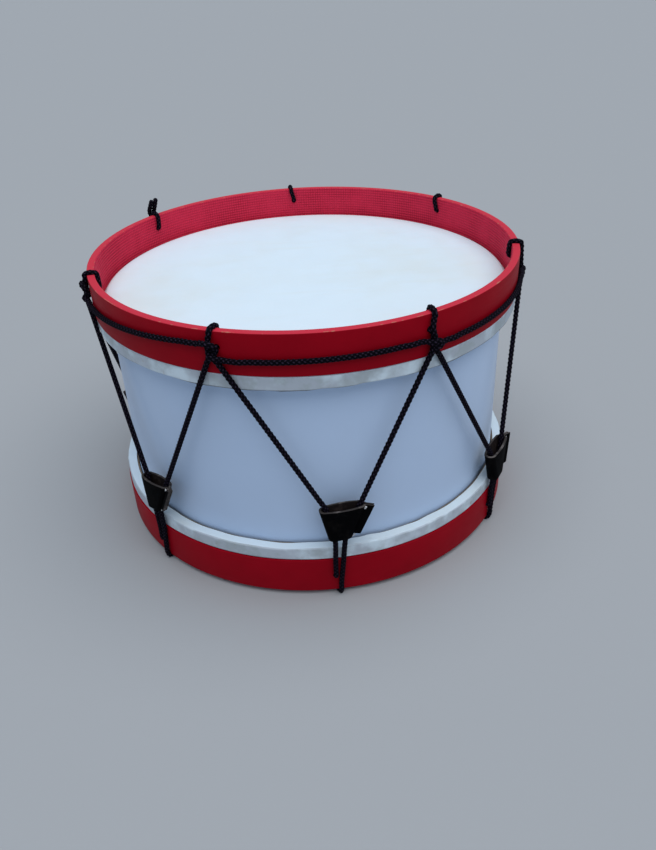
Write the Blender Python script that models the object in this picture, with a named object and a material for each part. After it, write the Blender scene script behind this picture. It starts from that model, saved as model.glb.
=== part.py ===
"""Rope-tensioned bombo drum, standing on its lower hoop, in metres with +Z up.

The origin is on the floor, on the drum's axis. An azimuth of 0 faces -Y, and azimuths grow
towards +X. One long cord is laced between two hoops and draws both heads onto the shell.
Seven leather tugs slide on its V-shaped strands, and a girdle cord hitches the strands to
the upper hoop.
"""

import math
from typing import NamedTuple

import bmesh
import bpy
from mathutils import Matrix, Vector

MM = 0.001

# Play between pieces that touch, and the wider play round a cord that bends, most in a tug
CLEARANCE = 0.3 * MM
CORD_PLAY = 0.5 * MM
TUG_PLAY = 1.4 * MM

# Both hoops: strips of board bent round, with the lacing holes near the free edge
HOOP_RADIUS = 225 * MM
HOOP_WALL = 7.5 * MM
HOOP_HEIGHT = 40 * MM
HOOP_EDGE_ROUND = 0.8 * MM
HOOP_SPAN = 286 * MM
UPPER_HOLE_DEPTH = 14.7 * MM
LOWER_HOLE_DEPTH = 19.5 * MM

# Heads: skins lapped over a flesh hoop, which the outer hoop presses on
SKIN = 1 * MM
COLLAR_HEIGHT = 7 * MM
LAP_HEIGHT = 14 * MM
LAP_DEPTH = 13 * MM
LAP_INSET = 1 * MM
LAP_HEM_GAP = 2.5 * MM

# Shell and the rings that stiffen its two bearing edges
SHELL_WALL = 4 * MM
BEARING_CHAMFER = 1.3 * MM
RING_WALL = 10 * MM
RING_HEIGHT = 30 * MM
RING_SLOPE = 6 * MM
RING_FLAT = 3 * MM

# Lacing cord and where it crosses the hoops
CORD = 5 * MM
HOLE_BEND = 3.2 * MM
BUNDLE_BEND = 5 * MM
LEG_END = 0.06
RIM_CLIMB = 11 * MM
LOWER_STRAIGHT = 18 * MM
CORD_FLAT = CORD / 10
LACING_POINTS = 7
LOWER_FIRST = math.radians(4.3)
UPPER_PAIR_HALF = 2.75 * MM
LOWER_HOLE_SIDE = -3.9 * MM
FOOT_SIDE = 1 * MM
FOOT_HEIGHT = 10 * MM

# How far each upper hole was drilled off its even place, from the front going right
HOLE_DRIFT = tuple(drift * MM for drift in (-7.5, -2.5, -9, -4.5, -11, -5, 2))
# The points laced the other way round, and the point where the cord's ends are tied
REVERSED_POINTS = (0, 2, 3)
TIED_POINTS = (4,)
TIED_END_RISE = 20 * MM

# Leather tugs, folded round two strands and sewn down one side
TUG_BASE = 77.5 * MM
TUG_HEIGHT = 33 * MM
TUG_STAND_OFF = 1.5 * MM
TUG_BASE_SIDE = 1.8 * MM
TUG_BASE_HALF = 5.5 * MM
TUG_MOUTH_SIDE = 5 * MM
TUG_MOUTH_HALF = 16.3 * MM
TUG_MOUTH_BULGE = 5.5 * MM
TUG_MOUTH_SLOPE = 0.085
TUG_LEAN = 2.5 * MM
LEATHER = 2.5 * MM
FLANGE_WIDTH = 8.5 * MM
THREAD = 1 * MM
THREAD_HOLE = 1.8 * MM
STITCH_HOLES = 4
STITCH_END = 3 * MM
STITCH_SHARE = 0.3
FLANGE_STEP = 1 * MM
# How far down its strands each tug has slid
TUG_SLIPS = tuple(slip * MM for slip in (0, 13.5, 0, 0, 0, 8, 4))
# How far along the hoop each tug sits off its even place, from the front going right
TUG_DRIFT = tuple(drift * MM for drift in (0, 5, 0, 0, 0, -34, 0))

# Facets of the round pieces, and how closely a cord follows its curve
RING_FACETS = 52
HOLE_FACETS = 8
ARC_FACETS = 4
CORD_SIDES = 8
GIRDLE_SIDES = 6
STITCH_SIDES = 6
GIRDLE_SPAN_FACETS = 7
CURVE_STEPS = 12
ROUTE_SAG = 0.28 * MM

# Derived heights and radii
CORD_RADIUS = CORD / 2
HOOP_FOOT = CORD - CORD_FLAT + CLEARANCE
RIM = HOOP_FOOT + HOOP_SPAN
HEAD_TOP = RIM - HOOP_HEIGHT + COLLAR_HEIGHT
LAP_TOP = RIM - HOOP_HEIGHT - CLEARANCE
LAP_BOTTOM = LAP_TOP - LAP_HEIGHT
LAP_RADIUS = HOOP_RADIUS - LAP_INSET
SHELL_RADIUS = LAP_RADIUS - LAP_DEPTH
SHELL_TOP = HEAD_TOP - SKIN - CLEARANCE
FACET_SAG = math.cos(math.pi / RING_FACETS)
OUTER_LAY = HOOP_RADIUS + CLEARANCE + CORD_RADIUS
INNER_LAY = (HOOP_RADIUS - HOOP_WALL) * FACET_SAG - CORD_PLAY - CORD_RADIUS
HITCH_REACH = CORD + CORD_PLAY
BUNDLE_LAY = OUTER_LAY + HITCH_REACH
LACING_PITCH = math.tau / LACING_POINTS
HOLE_RADIUS = (CORD_RADIUS + CORD_PLAY) / math.cos(math.pi / HOLE_FACETS)
LOWER_LAY = OUTER_LAY + 0.2 * MM
CORNER_CUT = 1 - math.sqrt(0.5)
SPAN_HALF = LACING_PITCH / GIRDLE_SPAN_FACETS / 2
GIRDLE_LAY = OUTER_LAY / math.cos(SPAN_HALF)
TUG_CORD_RADIUS = OUTER_LAY + TUG_STAND_OFF
TUG_ROUND = (CORD_RADIUS + TUG_PLAY) / math.cos(math.pi / ARC_FACETS / 2)


class Hitch(NamedTuple):
    """Depths below the rim, in millimetres, of the girdle's passes round one pair of strands."""

    arrive: float
    front: float
    back: float
    second_front: float
    leave: float

    def height(self, name):
        """Height above the floor of the pass with this name."""
        return RIM - getattr(self, name) * MM


HITCHES = (
    Hitch(23.0, 18.5, 26.0, 30.5, 28.5),
    Hitch(26.5, 23.5, 29.8, 34.3, 33.0),
    Hitch(22.0, 18.0, 25.0, 29.0, 27.5),
    Hitch(21.0, 17.0, 24.0, 28.0, 26.5),
    Hitch(20.0, 17.0, 23.5, 27.5, 26.0),
    Hitch(12.5, 9.5, 21.5, 26.0, 24.0),
    Hitch(12.0, 10.5, 21.5, 26.5, 25.5),
)
# The girdle's ends are lapped past this point, the first of them at this depth
GIRDLE_LAP_POINTS = (1,)
GIRDLE_START_DEPTH = 20 * MM
GIRDLE_END = 16 * MM
HITCH_APPROACH = 22 * MM

COLOURS = {
    "red_board": ((0.32, 0.012, 0.022), 0.45),
    "rawhide": ((0.78, 0.80, 0.80), 0.55),
    "white_shell": ((0.62, 0.66, 0.72), 0.35),
    "plain_wood": ((0.55, 0.38, 0.22), 0.7),
    "black_cord": ((0.012, 0.010, 0.014), 0.6),
    "black_leather": ((0.015, 0.013, 0.013), 0.5),
    "white_thread": ((0.75, 0.73, 0.68), 0.8),
}


def clear_scene():
    """Remove the objects that a new file opens with."""
    for obj in list(bpy.data.objects):
        bpy.data.objects.remove(obj, do_unlink=True)


def make_material(name):
    """One Principled material, from the table of colours and roughness."""
    colour, roughness = COLOURS[name]
    material = bpy.data.materials.new(name)
    material.use_nodes = True
    shader = material.node_tree.nodes["Principled BSDF"]
    shader.inputs["Base Color"].default_value = (*colour, 1)
    shader.inputs["Roughness"].default_value = roughness
    shader.inputs["Metallic"].default_value = 0
    return material


def add_mesh(name, bm, material=None):
    """Turn a bmesh into an object with its faces pointing out and its round sides smooth."""
    bmesh.ops.recalc_face_normals(bm, faces=bm.faces[:])
    mesh = bpy.data.meshes.new(name)
    bm.to_mesh(mesh)
    bm.free()
    mesh.shade_smooth()
    mesh.set_sharp_from_angle(angle=math.radians(35))
    if material:
        mesh.materials.append(material)
    obj = bpy.data.objects.new(name, mesh)
    bpy.context.scene.collection.objects.link(obj)
    return obj


def make_guide(obj):
    """Keep an object as a cutter or a guide, outside the model itself."""
    obj.hide_render = True
    obj.display_type = "WIRE"
    return obj


def combine(obj, other, operation):
    """Cut an object with another, or join the other to it."""
    modifier = obj.modifiers.new(operation.title(), "BOOLEAN")
    modifier.operation = operation
    modifier.solver = "EXACT"
    modifier.object = make_guide(other)


def place(azimuth, side, radius, height):
    """A point out from the axis at an azimuth, moved sideways, to the right seen from outside."""
    out = Vector((math.sin(azimuth), -math.cos(azimuth), 0))
    right = Vector((math.cos(azimuth), math.sin(azimuth), 0))
    return out * radius + right * side + Vector((0, 0, height))


def lower_azimuth(point):
    """Azimuth of a tug and of the cord's crossing under the lower hoop, off by its drift."""
    drift = TUG_DRIFT[point % len(TUG_DRIFT)]
    return LOWER_FIRST + point * LACING_PITCH + drift / HOOP_RADIUS


def tug_base(point):
    """Height of a tug's base above the floor."""
    return TUG_BASE - TUG_SLIPS[point % len(TUG_SLIPS)]


def upper_azimuth(point):
    """Azimuth of a crossing over the upper hoop, half a pitch on and off by its drift."""
    drift = HOLE_DRIFT[point % len(HOLE_DRIFT)]
    return LOWER_FIRST + (point + 0.5) * LACING_PITCH + drift / HOOP_RADIUS


def upside_down(outline):
    """The same outline of radii and heights at the drum's other end."""
    return [(radius, RIM + HOOP_FOOT - height) for radius, height in outline]


# Turned pieces


def turn_outline(outline, closed):
    """Turn an outline of radii and heights round the axis, with flat discs at open ends."""
    bm = bmesh.new()
    points = [bm.verts.new((radius, 0, height)) for radius, height in outline]
    pairs = list(zip(points, points[1:]))
    if closed:
        pairs.append((points[-1], points[0]))
    edges = [bm.edges.new(pair) for pair in pairs]
    bmesh.ops.spin(
        bm,
        geom=points + edges,
        cent=(0, 0, 0),
        axis=(0, 0, 1),
        angle=math.tau,
        steps=RING_FACETS,
        use_merge=True,
    )
    bmesh.ops.remove_doubles(bm, verts=bm.verts[:], dist=0.01 * MM)
    if not closed:
        rims = [edge for edge in bm.edges if edge.is_boundary]
        bmesh.ops.contextual_create(bm, geom=rims)
    return bm


def hoop_outline():
    """The upper hoop's section, rounded along its free edge."""
    inner = HOOP_RADIUS - HOOP_WALL
    return [
        (HOOP_RADIUS, RIM - HOOP_HEIGHT),
        (HOOP_RADIUS, RIM - HOOP_EDGE_ROUND),
        (HOOP_RADIUS - HOOP_EDGE_ROUND, RIM),
        (inner + HOOP_EDGE_ROUND, RIM),
        (inner, RIM - HOOP_EDGE_ROUND),
        (inner, RIM - HOOP_HEIGHT),
    ]


def hole_cutter(name, holes):
    """Radial cylinders through a hoop's wall, one for each azimuth, side and height."""
    bm = bmesh.new()
    for azimuth, side, height in holes:
        centre = place(azimuth, side, HOOP_RADIUS - HOOP_WALL / 2, height)
        facing = Matrix.Rotation(azimuth, 4, "Z") @ Matrix.Rotation(math.pi / 2, 4, "X")
        bmesh.ops.create_cone(
            bm,
            cap_ends=True,
            segments=HOLE_FACETS,
            radius1=HOLE_RADIUS,
            radius2=HOLE_RADIUS,
            depth=HOOP_WALL * 3,
            matrix=Matrix.Translation(centre) @ facing,
        )
    return add_mesh(name, bm)


def add_hoops(material):
    """Both outer hoops, each with its lacing holes cut through the wall."""
    top = add_mesh("hoop_top", turn_outline(hoop_outline(), closed=True), material)
    upper_holes = [
        (upper_azimuth(point), upper_hole_side(point), RIM - UPPER_HOLE_DEPTH)
        for point in range(LACING_POINTS)
    ]
    combine(top, hole_cutter("upper_hole_cutter", upper_holes), "DIFFERENCE")
    lower_outline = upside_down(hoop_outline())
    bottom = add_mesh("hoop_bottom", turn_outline(lower_outline, closed=True), material)
    lower_holes = [
        (lower_azimuth(point), LOWER_HOLE_SIDE, HOOP_FOOT + LOWER_HOLE_DEPTH)
        for point in range(LACING_POINTS)
    ]
    combine(bottom, hole_cutter("lower_hole_cutter", lower_holes), "DIFFERENCE")


def skin_outline():
    """A skin's section: the flat head, its collar, and the lap over and under the flesh hoop."""
    inside = SHELL_RADIUS + CLEARANCE
    corner = BEARING_CHAMFER
    return [
        (inside + SKIN - corner, HEAD_TOP),
        (inside + SKIN, HEAD_TOP - corner),
        (inside + SKIN, LAP_TOP),
        (LAP_RADIUS, LAP_TOP),
        (LAP_RADIUS, LAP_BOTTOM),
        (inside + LAP_HEM_GAP, LAP_BOTTOM),
        (inside + LAP_HEM_GAP, LAP_BOTTOM + SKIN),
        (LAP_RADIUS - SKIN, LAP_BOTTOM + SKIN),
        (LAP_RADIUS - SKIN, LAP_TOP - SKIN),
        (inside, LAP_TOP - SKIN),
        (inside, HEAD_TOP - SKIN - corner),
        (inside - corner, HEAD_TOP - SKIN),
    ]


def flesh_hoop_outline():
    """The wooden ring inside the lapped skin."""
    inner = SHELL_RADIUS + CLEARANCE + SKIN
    outer = LAP_RADIUS - SKIN - CLEARANCE
    low = LAP_BOTTOM + SKIN + CLEARANCE
    high = LAP_TOP - SKIN - CLEARANCE
    return [(outer, low), (outer, high), (inner, high), (inner, low)]


def ring_outline():
    """The stiffening ring inside the shell's edge, sloped away from the head."""
    outer = SHELL_RADIUS - SHELL_WALL - CLEARANCE
    inner = outer - RING_WALL
    return [
        (outer, SHELL_TOP - RING_HEIGHT),
        (outer, SHELL_TOP),
        (outer - RING_FLAT, SHELL_TOP),
        (inner, SHELL_TOP - RING_SLOPE),
        (inner, SHELL_TOP - RING_HEIGHT),
    ]


def shell_outline():
    """The shell's wall, with both outer corners taken off under the skins."""
    inner = SHELL_RADIUS - SHELL_WALL
    low = RIM + HOOP_FOOT - SHELL_TOP
    return [
        (SHELL_RADIUS, low + BEARING_CHAMFER),
        (SHELL_RADIUS, SHELL_TOP - BEARING_CHAMFER),
        (SHELL_RADIUS - BEARING_CHAMFER, SHELL_TOP),
        (inner, SHELL_TOP),
        (inner, low),
        (SHELL_RADIUS - BEARING_CHAMFER, low),
    ]


def add_body(shell_material, wood, rawhide):
    """The shell, its stiffening rings, the flesh hoops and the two lapped skins."""
    add_mesh("shell", turn_outline(shell_outline(), closed=True), shell_material)
    ends = (("top", lambda outline: outline), ("bottom", upside_down))
    for end, turned in ends:
        ring = turn_outline(turned(ring_outline()), closed=True)
        add_mesh(f"shell_ring_{end}", ring, wood)
        flesh = turn_outline(turned(flesh_hoop_outline()), closed=True)
        add_mesh(f"flesh_hoop_{end}", flesh, wood)
        skin = turn_outline(turned(skin_outline()), closed=False)
        add_mesh(f"skin_{end}", skin, rawhide)


# Cords


def on_curve(four, knots, t):
    """The point at t on the centripetal curve between the middle two of four points."""

    def between(first, second, low, high):
        return first.lerp(second, (t - knots[low]) / (knots[high] - knots[low]))

    once = [between(four[i], four[i + 1], i, i + 1) for i in range(3)]
    twice = [between(once[i], once[i + 1], i, i + 2) for i in range(2)]
    return between(twice[0], twice[1], 1, 2)


def smooth_route(points):
    """A fine run of points on a smooth curve through a route's own points."""
    ends = [2 * points[0] - points[1], *points, 2 * points[-1] - points[-2]]
    route = []
    for i in range(len(points) - 1):
        four = ends[i : i + 4]
        knots = [0.0]
        for first, second in zip(four, four[1:]):
            knots.append(knots[-1] + (second - first).length ** 0.5)
        for step in range(CURVE_STEPS):
            share = step / CURVE_STEPS
            route.append(on_curve(four, knots, knots[1] + share * (knots[2] - knots[1])))
    return [*route, points[-1]]


def thin_out(route):
    """Leave out the points that a straight run passes within the sag."""
    if len(route) < 3:
        return route
    run = (route[-1] - route[0]).normalized()
    gaps = [(point - route[0]).cross(run).length for point in route]
    farthest = max(range(len(route)), key=gaps.__getitem__)
    if gaps[farthest] <= ROUTE_SAG:
        return [route[0], route[-1]]
    return thin_out(route[: farthest + 1])[:-1] + thin_out(route[farthest:])


def add_tube(name, points, diameter, material, sides):
    """A round tube with closed ends along a run of points."""
    curve = bpy.data.curves.new(name, "CURVE")
    curve.dimensions = "3D"
    curve.bevel_depth = diameter / 2
    curve.bevel_resolution = sides // 2 - 2
    curve.use_fill_caps = True
    curve.materials.append(material)
    spline = curve.splines.new("POLY")
    spline.points.add(len(points) - 1)
    for spot, point in zip(spline.points, points):
        spot.co = (*point, 1)
    obj = bpy.data.objects.new(name, curve)
    bpy.context.scene.collection.objects.link(obj)
    return obj


def upper_hole_side(point):
    """On which side of its crossing the cord goes through the upper hoop."""
    is_reversed = point % LACING_POINTS in REVERSED_POINTS
    return -UPPER_PAIR_HALF if is_reversed else UPPER_PAIR_HALF


def pair_split(point):
    """Height where the two strands at an upper crossing begin to part."""
    return HITCHES[point % len(HITCHES)].height("second_front") - CORD_RADIUS - CORD_PLAY


def rim_climb(is_tied):
    """A strand's way up the outer face to the rim, close to it or standing off for the knot."""
    half = UPPER_PAIR_HALF
    if is_tied:
        return [
            (-half, BUNDLE_LAY, RIM - 4 * MM),
            (-0.9 * half, BUNDLE_LAY - 1.2 * MM, RIM + 0.8 * MM),
            (-0.7 * half, OUTER_LAY + 0.2 * MM, RIM + 3.6 * MM),
        ]
    return [
        (-half, OUTER_LAY + 3 * MM, RIM - RIM_CLIMB),
        (-0.9 * half, OUTER_LAY + 0.3 * MM, RIM - 5 * MM),
        (-0.8 * half, HOOP_RADIUS + 2.1 * MM, RIM + 2.1 * MM),
    ]


def upper_crossing(point):
    """The cord's way at an upper crossing: over the rim, down inside and out through its hole."""
    half = UPPER_PAIR_HALF
    low = pair_split(point)
    hole = RIM - UPPER_HOLE_DEPTH
    wall_middle = HOOP_RADIUS - HOOP_WALL / 2
    turn_in = HOLE_BEND * CORNER_CUT
    turn_down = BUNDLE_BEND * CORNER_CUT
    way = [
        (-half, BUNDLE_LAY, low),
        (-half, BUNDLE_LAY, hole - 4 * MM),
        *rim_climb(point % LACING_POINTS in TIED_POINTS),
        (-0.4 * half, wall_middle, RIM + CORD_RADIUS + CORD_PLAY),
        (0, INNER_LAY + 1 * MM, RIM + 2.1 * MM),
        (0.3 * half, INNER_LAY, RIM - 5 * MM),
        (0.8 * half, INNER_LAY, hole + HOLE_BEND),
        (half, INNER_LAY + turn_in, hole + turn_in),
        (half, INNER_LAY + HOLE_BEND, hole),
        (half, BUNDLE_LAY - BUNDLE_BEND, hole),
        (half, BUNDLE_LAY - turn_down, hole - turn_down),
        (half, BUNDLE_LAY, hole - BUNDLE_BEND),
        (half, BUNDLE_LAY, low),
    ]
    if upper_hole_side(point) < 0:
        way = [(-side, radius, height) for side, radius, height in reversed(way)]
    azimuth = upper_azimuth(point)
    return [place(azimuth, *spot) for spot in way]


def tug_strand(point, side_sign):
    """A strand's way from the lower hoop up through a tug, on its right or left side."""
    base = tug_base(point)
    hole = HOOP_FOOT + LOWER_HOLE_DEPTH
    start, low = (FOOT_SIDE, HOOP_FOOT + FOOT_HEIGHT) if side_sign > 0 else (LOWER_HOLE_SIDE, hole)
    side = TUG_BASE_SIDE + side_sign * TUG_BASE_HALF
    mouth = TUG_MOUTH_SIDE + side_sign * TUG_MOUTH_HALF
    way = []
    for height in (hole + HOLE_BEND + 2 * MM, hole + LOWER_STRAIGHT):
        share = (height - low) / (base - low)
        way.append((start + share * (side - start), LOWER_LAY, height))
    for rise in (0, 0.3, 1):
        spread = side + rise * (mouth - side)
        way.append((spread, TUG_CORD_RADIUS - rise * TUG_LEAN, base + rise * TUG_HEIGHT))
    return [place(lower_azimuth(point), *spot) for spot in way]


def lower_hole_way(azimuth):
    """A strand's way from outside through its lower hole and down the inner face."""
    side = LOWER_HOLE_SIDE
    hole = HOOP_FOOT + LOWER_HOLE_DEPTH
    turn = HOLE_BEND * CORNER_CUT
    way = [
        (side, LOWER_LAY, hole + HOLE_BEND),
        (side, LOWER_LAY - turn, hole + turn),
        (side, LOWER_LAY - HOLE_BEND, hole),
        (side, INNER_LAY + HOLE_BEND, hole),
        (side, INNER_LAY + turn, hole - turn),
        (side, INNER_LAY, hole - HOLE_BEND),
        (side, INNER_LAY, HOOP_FOOT + FOOT_HEIGHT + CLEARANCE),
    ]
    return [place(azimuth, *spot) for spot in way]


def leg(low, high):
    """Two points that keep a taut strand straight between its ends."""
    return [low.lerp(high, LEG_END), low.lerp(high, 1 - LEG_END)]


def run_route(point):
    """The cord from one foot, up through its tug, over the rim and down to the next foot."""
    low = HOOP_FOOT + FOOT_HEIGHT + CLEARANCE
    first = place(lower_azimuth(point), FOOT_SIDE, LOWER_LAY, low)
    rising = [first, *tug_strand(point, 1)]
    crossing = upper_crossing(point)
    falling = tug_strand(point + 1, -1)[::-1]
    return [
        *rising,
        *leg(rising[-1], crossing[0]),
        *crossing,
        *leg(crossing[-1], falling[0]),
        *falling,
        *lower_hole_way(lower_azimuth(point + 1)),
    ]


def foot_route():
    """The cord's bight under the lower hoop, at an azimuth of 0."""
    top = HOOP_FOOT + FOOT_HEIGHT
    inner = HOOP_RADIUS - HOOP_WALL
    under = CORD_RADIUS - CORD_FLAT
    corner = HOOP_FOOT - 2.1 * MM
    across = FOOT_SIDE - LOWER_HOLE_SIDE
    way = [
        (0, INNER_LAY, top),
        (0, INNER_LAY, top - CORD),
        (0.25, inner - 2.1 * MM, corner),
        (0.4, inner + 1 * MM, under),
        (0.8, HOOP_RADIUS - 1 * MM, under),
        (0.95, HOOP_RADIUS + 2.1 * MM, corner),
        (1, LOWER_LAY, top - CORD),
        (1, LOWER_LAY, top),
    ]
    return [place(0, LOWER_HOLE_SIDE + share * across, *spot) for share, *spot in way]


def cut_flat(mesh, height):
    """Cut a closed mesh flat at a height and close the cut."""
    bm = bmesh.new()
    bm.from_mesh(mesh)
    cut = bmesh.ops.bisect_plane(
        bm,
        geom=bm.verts[:] + bm.edges[:] + bm.faces[:],
        plane_co=(0, 0, height),
        plane_no=(0, 0, -1),
        clear_outer=True,
    )
    edges = [item for item in cut["geom_cut"] if isinstance(item, bmesh.types.BMEdge)]
    bmesh.ops.contextual_create(bm, geom=edges)
    bm.to_mesh(mesh)
    bm.free()


def finished_mesh(obj, name):
    """A mesh of an object as its modifiers leave it."""
    evaluated = obj.evaluated_get(bpy.context.evaluated_depsgraph_get())
    mesh = bpy.data.meshes.new_from_object(evaluated)
    mesh.name = name
    return mesh


def add_lacing(material):
    """The lacing cord in seven runs, and its seven feet, which the drum stands on."""
    bight = thin_out(smooth_route(foot_route()))
    guide = make_guide(add_tube("foot_guide", bight, CORD, material, CORD_SIDES))
    foot = finished_mesh(guide, "cord_foot")
    cut_flat(foot, 0)
    for point in range(LACING_POINTS):
        route = thin_out(smooth_route(run_route(point)))
        add_tube(f"cord_run_{point + 1}", route, CORD, material, CORD_SIDES)
        obj = bpy.data.objects.new(f"cord_foot_{point + 1}", foot)
        obj.rotation_euler.z = lower_azimuth(point)
        bpy.context.scene.collection.objects.link(obj)


def add_tied_ends(material):
    """The cord's two ends, turned once round a strand and left standing above the rim."""
    (tied_point,) = TIED_POINTS
    side = -UPPER_PAIR_HALF
    reach = HITCH_REACH
    stub = RIM + TIED_END_RISE
    way = [
        (side - 2.7 * MM, BUNDLE_LAY + 3.2 * MM, stub),
        (side - 3.7 * MM, BUNDLE_LAY + 3.2 * MM, RIM + 8 * MM),
        (side - reach, BUNDLE_LAY + 1.2 * MM, RIM + 1 * MM),
        (side - 4.6 * MM, BUNDLE_LAY - 3.9 * MM, RIM - 3 * MM),
        (side, BUNDLE_LAY - reach, RIM - 5 * MM),
        (side + 4.6 * MM, BUNDLE_LAY - 3.9 * MM, RIM - 6.5 * MM),
        (side + reach, BUNDLE_LAY + 0.3 * MM, RIM - 7.5 * MM),
        (side + 4.2 * MM, BUNDLE_LAY + 4.2 * MM, RIM - 6.5 * MM),
        (side + 2.6 * MM, BUNDLE_LAY + reach, RIM - 1 * MM),
        (side + 2.6 * MM, BUNDLE_LAY + 4.4 * MM, RIM + 8 * MM),
        (side + 2.9 * MM, BUNDLE_LAY + 3.5 * MM, stub - 1 * MM),
    ]
    azimuth = upper_azimuth(tied_point)
    route = smooth_route([place(azimuth, *spot) for spot in way])
    add_tube("cord_end_knot", thin_out(route), CORD, material, CORD_SIDES)


def hitch_route(point):
    """The girdle's way round one pair of strands: in front, behind and in front again."""
    hitch = HITCHES[point % len(HITCHES)]
    azimuth = upper_azimuth(point)
    arrive, front = hitch.height("arrive"), hitch.height("front")
    back, second = hitch.height("back"), hitch.height("second_front")
    leave = hitch.height("leave")
    quarters = (
        (180, (arrive + front) / 2),
        (90, front),
        (-90, back),
        (-270, second),
        (-360, (second + leave) / 2),
    )
    way = [
        place(azimuth - HITCH_APPROACH / GIRDLE_LAY, 0, GIRDLE_LAY, arrive),
        place(azimuth, -HITCH_APPROACH * 0.6, GIRDLE_LAY + 1 * MM, arrive),
    ]
    for (turn, height), (next_turn, next_height) in zip(quarters, quarters[1:]):
        for angle in range(turn, next_turn, -45):
            share = (angle - turn) / (next_turn - turn)
            level = height + share * (next_height - height)
            way.append(round_pair(azimuth, angle, level))
    way.append(round_pair(azimuth, -360, quarters[-1][1]))
    way.append(place(azimuth, HITCH_APPROACH * 0.6, GIRDLE_LAY + 1 * MM, leave))
    way.append(place(azimuth + HITCH_APPROACH / GIRDLE_LAY, 0, GIRDLE_LAY, leave))
    return smooth_route(way)


def round_pair(azimuth, angle, height):
    """A point of the girdle round a pair of strands: 0 is on the right, 90 in front."""
    turn = math.radians(angle)
    out = math.cos(turn)
    strand = 0 if abs(out) < 0.5 else math.copysign(UPPER_PAIR_HALF, out)
    side = strand + HITCH_REACH * out
    return place(azimuth, side, BUNDLE_LAY + HITCH_REACH * math.sin(turn), height)


def girdle_span(start, finish, low, high):
    """Points along the hoop's outer face from one azimuth to another."""
    points = []
    for step in range(1, GIRDLE_SPAN_FACETS):
        share = step / GIRDLE_SPAN_FACETS
        azimuth = start + share * (finish - start)
        points.append(place(azimuth, 0, GIRDLE_LAY, low + share * (high - low)))
    return points


def least_self_gap(route, diameter):
    """The least gap between stretches of one tube that aren't next to each other."""
    along = [0.0]
    for first, second in zip(route, route[1:]):
        along.append(along[-1] + (second - first).length)
    least = math.inf
    for i, point in enumerate(route):
        for j in range(i + 1, len(route)):
            if along[j] - along[i] > 2.5 * diameter:
                least = min(least, (route[j] - point).length)
    return least - diameter


def add_girdle(material):
    """One cord round the upper hoop, hitched to every pair of strands, with its ends lapped."""
    (first,) = GIRDLE_LAP_POINTS
    reach = HITCH_APPROACH / GIRDLE_LAY
    begin = upper_azimuth(first) + GIRDLE_END / GIRDLE_LAY
    height = RIM - GIRDLE_START_DEPTH
    fine = [place(begin, 0, GIRDLE_LAY, height)]
    route = fine[:]
    azimuth = begin
    for point in range(first + 1, first + LACING_POINTS + 1):
        hitch = HITCHES[point % len(HITCHES)]
        arrive = upper_azimuth(point) - reach
        span = girdle_span(azimuth, arrive, height, hitch.height("arrive"))
        turns = hitch_route(point)
        fine += span + turns
        route += span + thin_out(turns)
        azimuth = upper_azimuth(point) + reach
        height = hitch.height("leave")
    add_tube("girdle_cord", route, CORD, material, GIRDLE_SIDES)
    print(f"girdle_cord least gap to itself: {least_self_gap(fine, CORD) / MM:.2f} mm")


# Tugs


def tug_section(height):
    """The middle's side and lean, and half the strands' spacing, at a height above the base."""
    rise = height / TUG_HEIGHT
    middle = TUG_BASE_SIDE + rise * (TUG_MOUTH_SIDE - TUG_BASE_SIDE)
    half = TUG_BASE_HALF + rise * (TUG_MOUTH_HALF - TUG_BASE_HALF)
    return middle, rise * TUG_LEAN, half


def tug_ring(half, bulge, wall):
    """Outline round two strands a tug holds, bulged in the middle, as sides and depths."""
    radius = TUG_ROUND + wall
    outline = []
    for centre, begin, middle in ((half, -90, 1), (-half, 90, -1)):
        for step in range(ARC_FACETS + 1):
            turn = math.radians(begin + 180 * step / ARC_FACETS)
            outline.append((centre + radius * math.cos(turn), radius * math.sin(turn)))
        outline.append((0, middle * (bulge + wall)))
    return outline


def add_tug_loop():
    """The folded leather round the strands, open at its base and mouth."""
    bm = bmesh.new()
    rings = []
    for wall in (LEATHER, 0):
        for height, bulge, slope in (
            (0, TUG_ROUND, 0),
            (TUG_HEIGHT, TUG_MOUTH_BULGE, TUG_MOUTH_SLOPE),
        ):
            middle, lean, half = tug_section(height)
            outline = tug_ring(half, bulge, wall)
            rings.append(
                [
                    bm.verts.new((middle + side, lean + depth, height + slope * side))
                    for side, depth in outline
                ]
            )
    outer_base, outer_mouth, inner_base, inner_mouth = rings
    count = len(outer_base)
    for first, second in (
        (outer_base, outer_mouth),
        (outer_mouth, inner_mouth),
        (inner_mouth, inner_base),
        (inner_base, outer_base),
    ):
        for i in range(count):
            j = (i + 1) % count
            bm.faces.new((first[i], first[j], second[j], second[i]))
    return add_mesh("tug_loop", bm)


def flange_side(height, share):
    """How far right the flange is at a height above the base, at a share of its width."""
    middle, _lean, half = tug_section(height)
    return middle + half + TUG_ROUND + LEATHER + share * FLANGE_WIDTH


def add_flange():
    """Both layers of leather past the strands, sewn together."""
    bm = bmesh.new()
    rings = []
    for height in (FLANGE_STEP, TUG_HEIGHT - FLANGE_STEP):
        inner = flange_side(height, 0) - LEATHER / 2
        outer = flange_side(height, 1)
        _middle, lean, _half = tug_section(height)
        corners = ((inner, -1), (outer, -1), (outer, 1), (inner, 1))
        ring = [(side, lean + turn * LEATHER, height) for side, turn in corners]
        rings.append([bm.verts.new(corner) for corner in ring])
    bm.faces.new(rings[0])
    bm.faces.new(rings[1])
    for i in range(4):
        j = (i + 1) % 4
        bm.faces.new((rings[0][i], rings[0][j], rings[1][j], rings[1][i]))
    return add_mesh("tug_flange", bm)


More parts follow.
